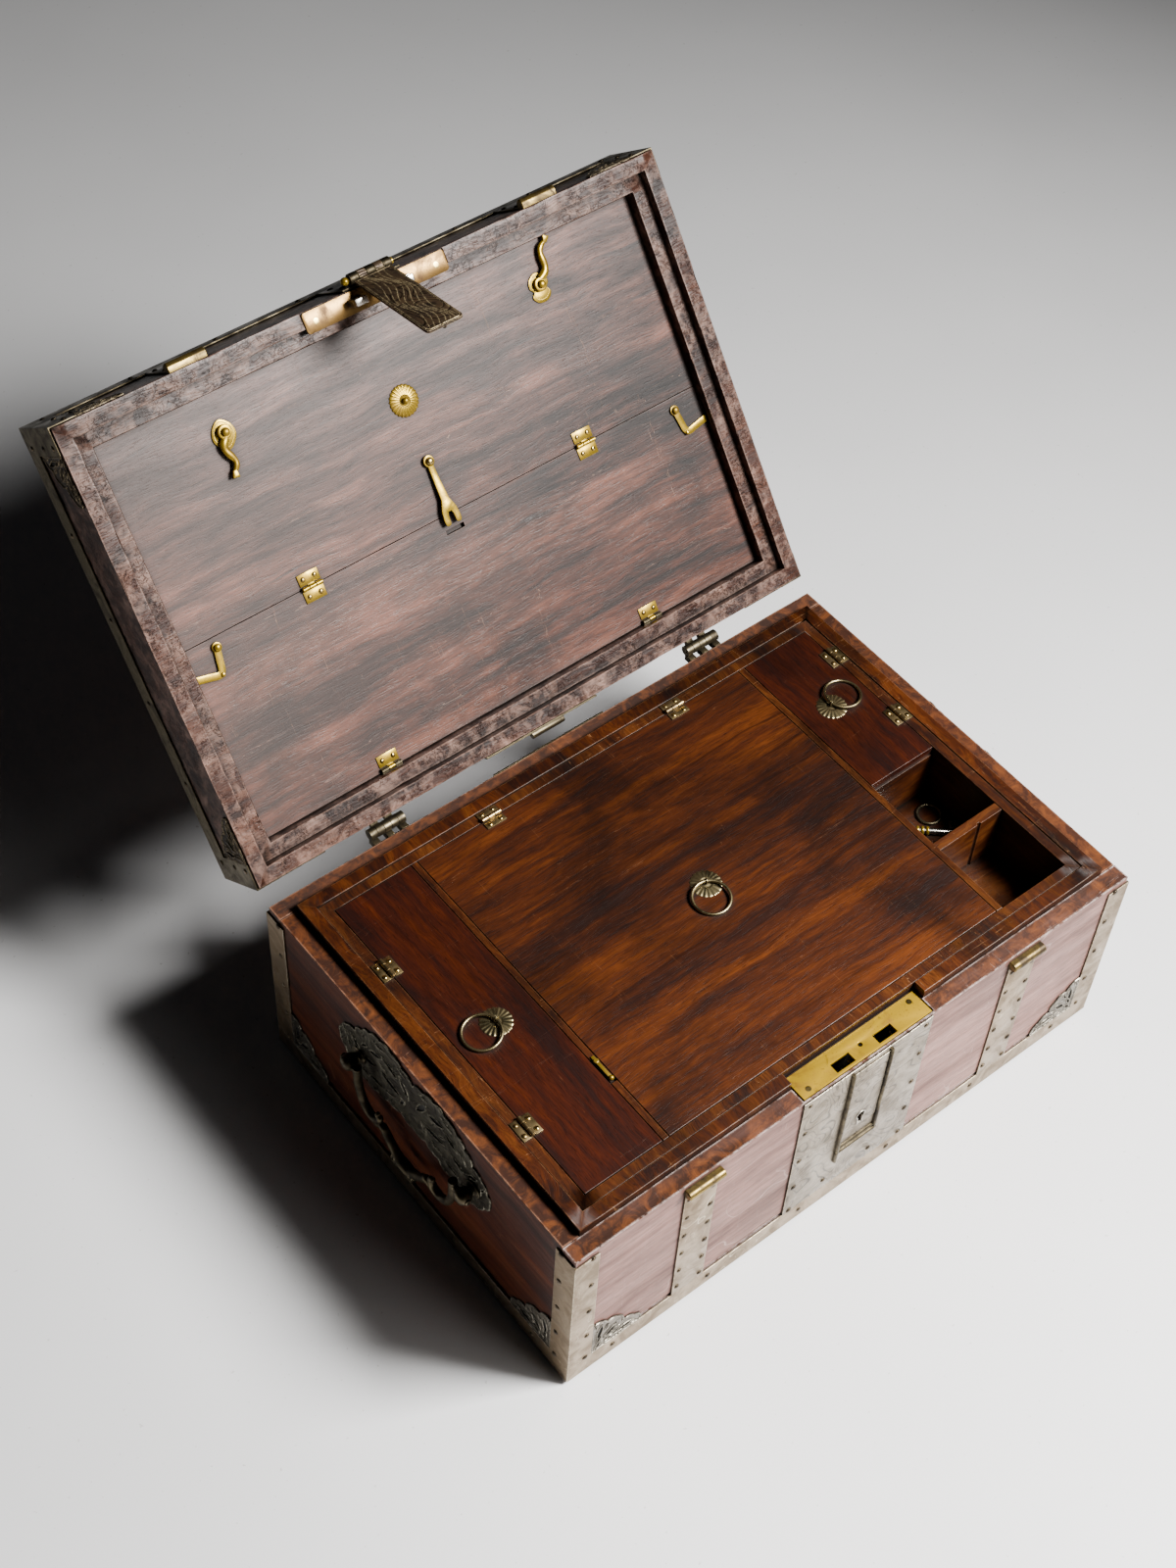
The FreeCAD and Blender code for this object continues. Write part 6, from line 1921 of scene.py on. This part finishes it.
@dataclass
class Lock(Fitting):
    """The lock's plate, moulding, keyhole plate and top plate, and the lid's strike plate."""

    x_span: tuple = (172.0, 277.0)
    keyhole_eye: tuple = (LOCK_CENTRE, 90.0, 3.2)
    slot_low: float = 81.0
    slot_half: float = 1.6
    inner: float = 14.4
    outer: float = 17.0
    lugs: tuple = (204.8, 239.2)

    def keyhole(self, grow: float) -> list:
        """The keyhole's outline.

        Args:
            grow: How far it is widened.

        Returns:
            The outline.
        """
        x, z, radius = self.keyhole_eye
        eye, half = radius + grow, self.slot_half + grow
        turn = math.degrees(math.asin(half / eye))
        round_part = arc((x, z), eye, -90 + turn, 270 - turn, 22)
        return round_part + [(x - half, self.slot_low - grow), (x + half, self.slot_low - grow)]

    def build(self) -> None:
        """Builds the lock and the strike plate."""
        shop, palette = self.shop, self.palette
        place = Side.FRONT.place()
        x0, x1 = self.x_span
        plate = Drawing(Part.BOX, place)
        plate.slab([(x0, 20), (x1, 20), (x1, 153.6), (x0, 153.6)], 0, SHEET, [self.keyhole(0.9)], 0.3)
        shop.piece("engraved_lock_plate", plate, palette.lock_brass, "lock_plate")
        inner = Drawing(Part.BOX, place)
        half = 14.0
        corners = [(LOCK_CENTRE - half, 78), (LOCK_CENTRE + half, 78), (LOCK_CENTRE + half, 149),
                   (LOCK_CENTRE - half, 149)]
        inner.slab(corners, SHEET, SHEET + 0.8, [self.keyhole(0)], 0.2)
        shop.piece("inner_keyhole_plate", inner, palette.lock_brass, "keyhole_plate")
        rim = Drawing(Part.BOX, place)
        rim.tube([(x, z, SHEET + 0.85) for x, z in self.keyhole(0.5)], 0.55, 8, closed=True)
        shop.piece("keyhole_rim", rim, palette.steel, "keyhole_plate", False)
        self.moulding(place)
        self.top()
        self.strike()

    def moulding(self, place: Matrix) -> None:
        """Builds the raised moulding round the keyhole plate.

        Args:
            place: The front's frame.
        """
        draw = Drawing(Part.BOX, place)
        c, middle = LOCK_CENTRE, (self.inner + self.outer) / 2
        radius = (self.outer - self.inner) / 2
        for sign, low in ((-1, 49.0), (1, 60.5)):
            x = c + sign * middle
            rows = [(low - 1.2, 0.55), (low - 0.6, 0.9), (low + 0.3, 1.0), (150.4, 1.0), (151.0, 0.85)]
            draw.skin([[(x + dx, z, SHEET + dz) for dx, dz in self.bead_section(radius * share, 2.6 * share)]
                       for z, share in rows])
        for z, width, high in ((60.5, self.outer, 2.6), (63.6, self.inner, 1.5)):
            ends = (c - width, c + width)
            draw.skin([[(x, z + dy, SHEET + dz) for dy, dz in self.bead_section(1.45, high)] for x in ends])
        self.shop.piece("lock_beading", draw, self.palette.dark_bronze, "lock_moulding")

    @staticmethod
    def bead_section(half: float, high: float) -> list:
        """A bead's section, flat below and round above, as places across and heights."""
        return [(half * x, high * y) for x, y in arc((0, 0), 1.0, 0, 180, 12)]

    def top(self) -> None:
        """Builds the plate with the two slots in the rim."""
        x0, x1 = self.x_span[0] + 2, self.x_span[1] + 1.5
        draw = Drawing(Part.BOX)
        holes = [[(x - 2.3, 4.2), (x + 12.3, 4.2), (x + 12.3, 11.2), (x - 2.3, 11.2)] for x in self.lugs]
        holes.append(circle((LOCK_CENTRE + 0.2, 10.8), 1.5, 18))
        draw.slab([(x0, 2), (x1, 2), (x1, 20), (x0, 20)], 152, RIM, holes, 0.3)
        shop, palette = self.shop, self.palette
        shop.piece("slotted_top_plate", draw, palette.plate_brass, "lock_top_plate")
        flat = Matrix.Translation((0, 0, RIM))
        heads = [stud_on(Part.BOX, flat, x, y, -0.05) for x, y in ((x0 + 7, 6.5), (x1 - 7, 15.5))]
        shop.studs("top_plate_screws", heads, 2.3, 0.12, palette.screw_brass, "lock_top_plate", seed=7)

    def strike(self) -> None:
        """Builds the plate on the lid with its two notched lugs."""
        x0, x1 = 173.0, 279.5
        low, high = LID_BOTTOM, LID_BOTTOM + SHEET
        corner = 2.2
        outline = []
        for x, y, start in ((x1, 1.0, -90), (x1, 14.6, 0), (x0, 14.6, 90), (x0, 1.0, 180)):
            inward = (x - corner if x == x1 else x + corner, y + corner if y == 1.0 else y - corner)
            outline += arc(inward, corner, start, start + 90, 5)
        draw = Drawing(Part.LID)
        draw.slab(outline, low, high, ease=0.3)
        shop, palette = self.shop, self.palette
        shop.piece("strike_bar", draw, palette.strike_brass, "strike_plate")
        lugs = Drawing(Part.LID)
        for x in self.lugs:
            upright = Matrix(((1, 0, 0), (0, 0, -1), (0, 1, 0))).to_4x4()
            lugs.at(Matrix.Translation((x, 10.0, low)) @ upright)
            shape = [
                (0, 0.4), (0, -9.6), (0.4, -10.7), (1.4, -11), (8.8, -11), (10, -9.8), (10, -8.4),
                (3.4, -8.4), (3.4, -4.8), (10, -4.8), (10, 0.4)]
            lugs.slab(shape, 0, 4.6, ease=0.3)
        shop.piece("strike_lugs", lugs, palette.steel, "strike_plate", False)
        under = Matrix.Translation((0, 0, low)) @ Matrix.Diagonal((1, 1, -1, 1))
        heads = [stud_on(Part.LID, under, x, y, -0.05) for x, y in ((x0 + 8, 8.5), (x1 - 8, 8.5))]
        shop.studs("strike_screws", heads, 2.4, 0.12, palette.screw_brass, "strike_plate", seed=8)


@dataclass
class Hasp(Fitting):
    """The hasp: its hinge leaf on the lid, its pin with a ball, and the engraved flap."""

    span: tuple = (211.4, 242.3)
    barrel: float = 3.6
    pin: float = 1.5
    half: float = 13.5
    length: float = 81.5

    def knuckles(self, draw: Drawing, owned: int) -> list:
        """Draws every second knuckle.

        Args:
            draw: The drawing.
            owned: Whether it is the even ones, 0, or the odd ones, 1.

        Returns:
            The ends of each.
        """
        pitch = (self.span[1] - self.span[0]) / 5
        ends = []
        for k in range(owned, 5, 2):
            x0 = self.span[0] + k * pitch + 0.12
            run = pitch - 0.24
            r = self.barrel
            profile = [
                (r - 0.5, 0), (r - 0.1, 0.2), (r, 0.6), (r, run - 0.6), (r - 0.1, run - 0.2), (r - 0.5, run)]
            draw.lathe(profile, (x0, HASP_Y, HASP_Z), (1, 0, 0), 28)
            ends.append((x0, x0 + run))
        return ends

    def build(self) -> None:
        """Builds the three pieces."""
        shop, palette = self.shop, self.palette
        leaf = Drawing(Part.LID)
        for x0, x1 in self.knuckles(leaf, 0):
            leaf.block((x0, HASP_Y, HASP_Z + 1.6), (x1, -0.6, HASP_Z + self.barrel), 0.2)
        leaf.block((self.span[0] - 6, -SHEET, LID_BOTTOM + 1), (self.span[1] + 6, 0, LID_BOTTOM + 37), 0.3)
        shop.piece("hasp_leaf", leaf, palette.dark_bronze, "hasp_hinge_leaf")
        heads = [stud_on(Part.LID, Side.FRONT.place(), x, z, SHEET) for x, z in
                 ((LOCK_CENTRE - 15, 168), (LOCK_CENTRE + 15, 168), (LOCK_CENTRE - 15, 185),
                  (LOCK_CENTRE + 15, 185))]
        shop.studs("hasp_leaf_screws", heads, 2.3, 0.9, palette.nail_brass, "hasp_hinge_leaf", seed=9)
        about = Matrix.Translation((0, HASP_Y, HASP_Z))
        lean = about @ Matrix.Rotation(math.radians(HASP_LEAN), 4, "X") @ about.inverted()
        axle = Drawing(Part.LID, lean)
        left, right = self.span
        axle.lathe([(self.pin, -1.4), (self.pin, right - left + 1.4)], (left, HASP_Y, HASP_Z), (1, 0, 0), 20)
        ball = [
            (1.5, 0.4), (2.2, 1.0), (2.7, 2.0), (2.75, 2.8), (2.6, 3.6), (2.0, 4.5), (1.2, 5.0), (0.4, 5.2)]
        axle.lathe(ball, (left, HASP_Y, HASP_Z), (-1, 0, 0), 24)
        axle.lathe([(1.9, 0.4), (2.4, 0.7), (2.4, 1.5), (1.8, 1.95), (0.5, 2.0)], (right, HASP_Y, HASP_Z),
                   (1, 0, 0), 24)
        shop.piece("hasp_pin_and_ball", axle, palette.bright_brass, "hasp_pin")
        self.flap(lean)

    def wave(self, line: int, along: float) -> float:
        """How far across the flap a flowing line is, from its number and the share along the flap."""
        swing = 4.6 * math.sin(along * 11.0 + 0.4 * line) * (1 - 0.16 * abs(line))
        return max(-self.half + 1.6, min(self.half - 1.6, line * 2.7 + swing))

    def flap(self, lean: Matrix) -> None:
        """Builds the flap with its flowing lines and its stud.

        Args:
            lean: The transform that leans it against the panel.
        """
        shop, palette = self.shop, self.palette
        back, front = HASP_Y + 1.0, HASP_Y - 0.8
        draw = Drawing(Part.LID, lean)
        for x0, x1 in self.knuckles(draw, 1):
            draw.block((x0, front, HASP_Z - 6), (x1, back, HASP_Z), 0.2)
        upright = lean @ Side.FRONT.place(LOCK_CENTRE, 0)
        low, high = HASP_Z - self.length, HASP_Z - 5
        corner, half = 3.0, self.half
        outline = [(half, high), (-half, high)]
        outline += arc((-half + corner, low + corner), corner, 180, 270, 6)
        outline += arc((half - corner, low + corner), corner, 270, 360, 6)
        draw.at(upright).slab(outline, -back, -front, ease=0.35)
        draw.at(lean).lathe(
            [(1.5, -1), (1.5, 1.5), (1.2, 2.0)], (LOCK_CENTRE, back, low + 2.2), (0, 1, 0), 16)
        for face in (-back, -front):
            draw.at(upright)
            border = [
                (half - 1.3, high - 1.0), (-half + 1.3, high - 1.0), (-half + 1.3, low + 3.2),
                (-half + 3.2, low + 1.3), (half - 3.2, low + 1.3), (half - 1.3, low + 3.2)]
            draw.tube([(x, z, face) for x, z in border], 0.32, 6, closed=True, flat=0.8)
            for k in range(-3, 4):
                rows = [low + 3.0 + (high - low - 5.0) * i / 40 for i in range(41)]
                line = [(self.wave(k, (z - low) / (high - low)), z, face) for z in rows]
                draw.tube(line, 0.26, 6, flat=0.7)
        shop.piece("engraved_hasp_flap", draw, palette.hasp_bronze, "hasp_flap")


@dataclass
class SmallPieces(Fitting):
    """The feet and the key with its split ring."""

    foot_places: list = kept([(x, y) for x in (10.5, WIDTH - 10.5) for y in (10.5, DEPTH - 10.5)])
    bow: tuple = (384.5, 132.5)
    tip: tuple = (405.5, 114.5)
    bow_radius: float = 6.6
    ring: tuple = (408.6, 132.8)
    ring_radius: float = 8.0
    ring_lift: float = 1.2
    key_z: float = 116.4
    well_floor: float = 113.0

    def build(self) -> None:
        """Builds the feet and the key."""
        feet = Drawing(Part.BOX)
        for x, y in self.foot_places:
            feet.lathe([(7.6, 0), (8.3, 0.15), (9.0, 0.9), (9.2, 1.8), (9.1, 3.0)], (x, y, 0), sides=36)
        shop, palette = self.shop, self.palette
        shop.piece("round_feet", feet, palette.steel, "feet")
        self.key()

    def key(self) -> None:
        """Builds the key, its collars and its ring."""
        shop, palette = self.shop, self.palette
        bow, tip = Vector((*self.bow, self.key_z)), Vector((*self.tip, self.key_z))
        way = (tip - bow).normalized()
        side = Vector((-way.y, way.x, 0))
        neck = bow + way * self.bow_radius
        run = (tip - neck).length + 9
        body = Drawing(Part.BOX)
        body.tube([(*p, self.key_z) for p in circle(self.bow, self.bow_radius, 40)], 1.7, 12, closed=True)
        body.lathe([(2.0, 0), (2.0, run - 1.2), (1.5, run)], neck, way, 20)
        basis = Matrix((way, side, UP)).transposed().to_4x4()
        body.at(Matrix.Translation(tip + way * 3) @ basis)
        body.slab(
            [(0, 0.5), (5.2, 0.5), (5.2, 8.5), (3.2, 8.5), (3.2, 4.5), (2, 4.5), (2, 8.5), (0, 8.5)], -1.1,
            1.1, ease=0.25)
        shop.piece("key_body", body, palette.steel, "key")
        collars = Drawing(Part.BOX)
        for start in (1.6, 4.9, 8.2):
            profile = [(2.0, 0), (2.9, 0.3), (3.2, 0.9), (3.2, 1.3), (2.9, 1.9), (2.0, 2.2)]
            collars.lathe(profile, neck + way * start, way, 24)
        shop.piece("key_collars", collars, palette.bright_brass, "key", False)
        split = Drawing(Part.BOX)
        loop = [(*p, self.well_floor + self.ring_lift) for p in circle(self.ring, self.ring_radius, 44)]
        split.tube(loop, 1.1, 12, closed=True)
        shop.piece("key_split_ring", split, palette.aged_brass, "key", False)


@dataclass
class Camera:
    """The photograph's camera, from its place and the way that it looks."""

    place_mm: tuple = (-430.7, -470.7, 1381.8)
    heading: float = 41.48
    pitch: float = -51.32
    roll: float = 3.73
    focal_px: float = 2468.2
    frame_px: float = 1600.0
    sensor_mm: float = 36.0

    def build(self) -> None:
        """Makes the camera."""
        lens = bpy.data.cameras.new("camera")
        lens.sensor_fit = "VERTICAL"
        lens.sensor_height = self.sensor_mm
        lens.lens = self.sensor_mm * self.focal_px / self.frame_px
        camera = bpy.data.objects.new("camera", lens)
        bpy.context.scene.collection.objects.link(camera)
        heading, pitch, roll = (math.radians(a) for a in (self.heading, self.pitch, self.roll))
        ahead = Vector(
            (math.sin(heading) * math.cos(pitch), math.cos(heading) * math.cos(pitch), math.sin(pitch)))
        right = ahead.cross(UP).normalized()
        turned = right * math.cos(roll) + right.cross(ahead) * math.sin(roll)
        basis = Matrix((turned, turned.cross(ahead), -ahead)).transposed().to_4x4()
        camera.matrix_world = Matrix.Translation(LAYOUT.matrix(Part.BOX) @ Vector(self.place_mm)) @ basis
        bpy.context.scene.camera = camera


@dataclass
class Studio:
    """The floor and the soft lights."""

    floor_size: float = 12.0
    sky: float = 0.008
    spread: float = 110.0
    aim: Point = (-0.15, -0.5, 0.0)

    def build(self) -> None:
        """Makes the floor, the sky and the lamps."""
        self.floor()
        world = bpy.data.worlds.new("sky")
        bpy.context.scene.world = world
        world.use_nodes = True
        back = world.node_tree.nodes["Background"]
        back.inputs["Color"].default_value = (0.86, 0.9, 1.0, 1.0)
        back.inputs["Strength"].default_value = self.sky
        self.lamp("key", (0.72, -1.0, 1.42), 0.55, 50.0, (1.0, 0.985, 0.96))
        self.lamp("front softbox", (0.2, -1.25, 0.8), 0.5, 1.2, (1.0, 0.95, 0.9))

    def floor(self) -> None:
        """A pale painted floor."""
        mesh = bpy.data.meshes.new("floor")
        half = self.floor_size / 2
        corners = [(-half, -half, 0), (half, -half, 0), (half, half, 0), (-half, half, 0)]
        mesh.from_pydata(corners, [], [(0, 1, 2, 3)])
        floor = bpy.data.objects.new("floor", mesh)
        bpy.context.scene.collection.objects.link(floor)
        material, tree, shader, place = started("floor paint")
        tone = tree.noise(place, 3.0, 4.0)
        colour = tree.ramp(tone, [(0.3, (0.76, 0.76, 0.77)), (0.7, (0.82, 0.82, 0.83))])
        specks = tree.span(tree.noise(place, 260.0, 2.0), 0.7, 0.76)
        specked = tree.mix(tree.times(specks, 0.4), colour, (0.35, 0.33, 0.3))
        tree.give(shader, Base_Color=specked)
        shader.inputs["Roughness"].default_value = 0.6
        mesh.materials.append(material)

    def lamp(self, name: str, place: Point, size: float, power: float, colour: tuple) -> None:
        """A square lamp that faces the floor in front of the box.

        Args:
            name: The lamp's name.
            place: Where it stands, in metres.
            size: Its side in metres.
            power: Its power in watts.
            colour: Its colour.
        """
        light = bpy.data.lights.new(name, "AREA")
        light.size = size
        light.energy = power
        light.color = colour
        light.spread = math.radians(self.spread)
        lamp = bpy.data.objects.new(name, light)
        bpy.context.scene.collection.objects.link(lamp)
        lamp.location = place
        lamp.rotation_euler = (Vector(self.aim) - Vector(place)).to_track_quat("-Z", "Y").to_euler()


def main() -> None:
    """Builds the whole scene."""
    logging.basicConfig(level=logging.INFO, format="%(message)s")
    palette = Palette()
    shop = Workshop()
    Camera().build()
    Studio().build()
    for maker in (Boards, Straps, Foliage, Handles, Lock, Hasp, TrayWorks, PanelWorks, SmallPieces):
        maker(shop, palette).build()


if __name__ == "__main__":
    main()
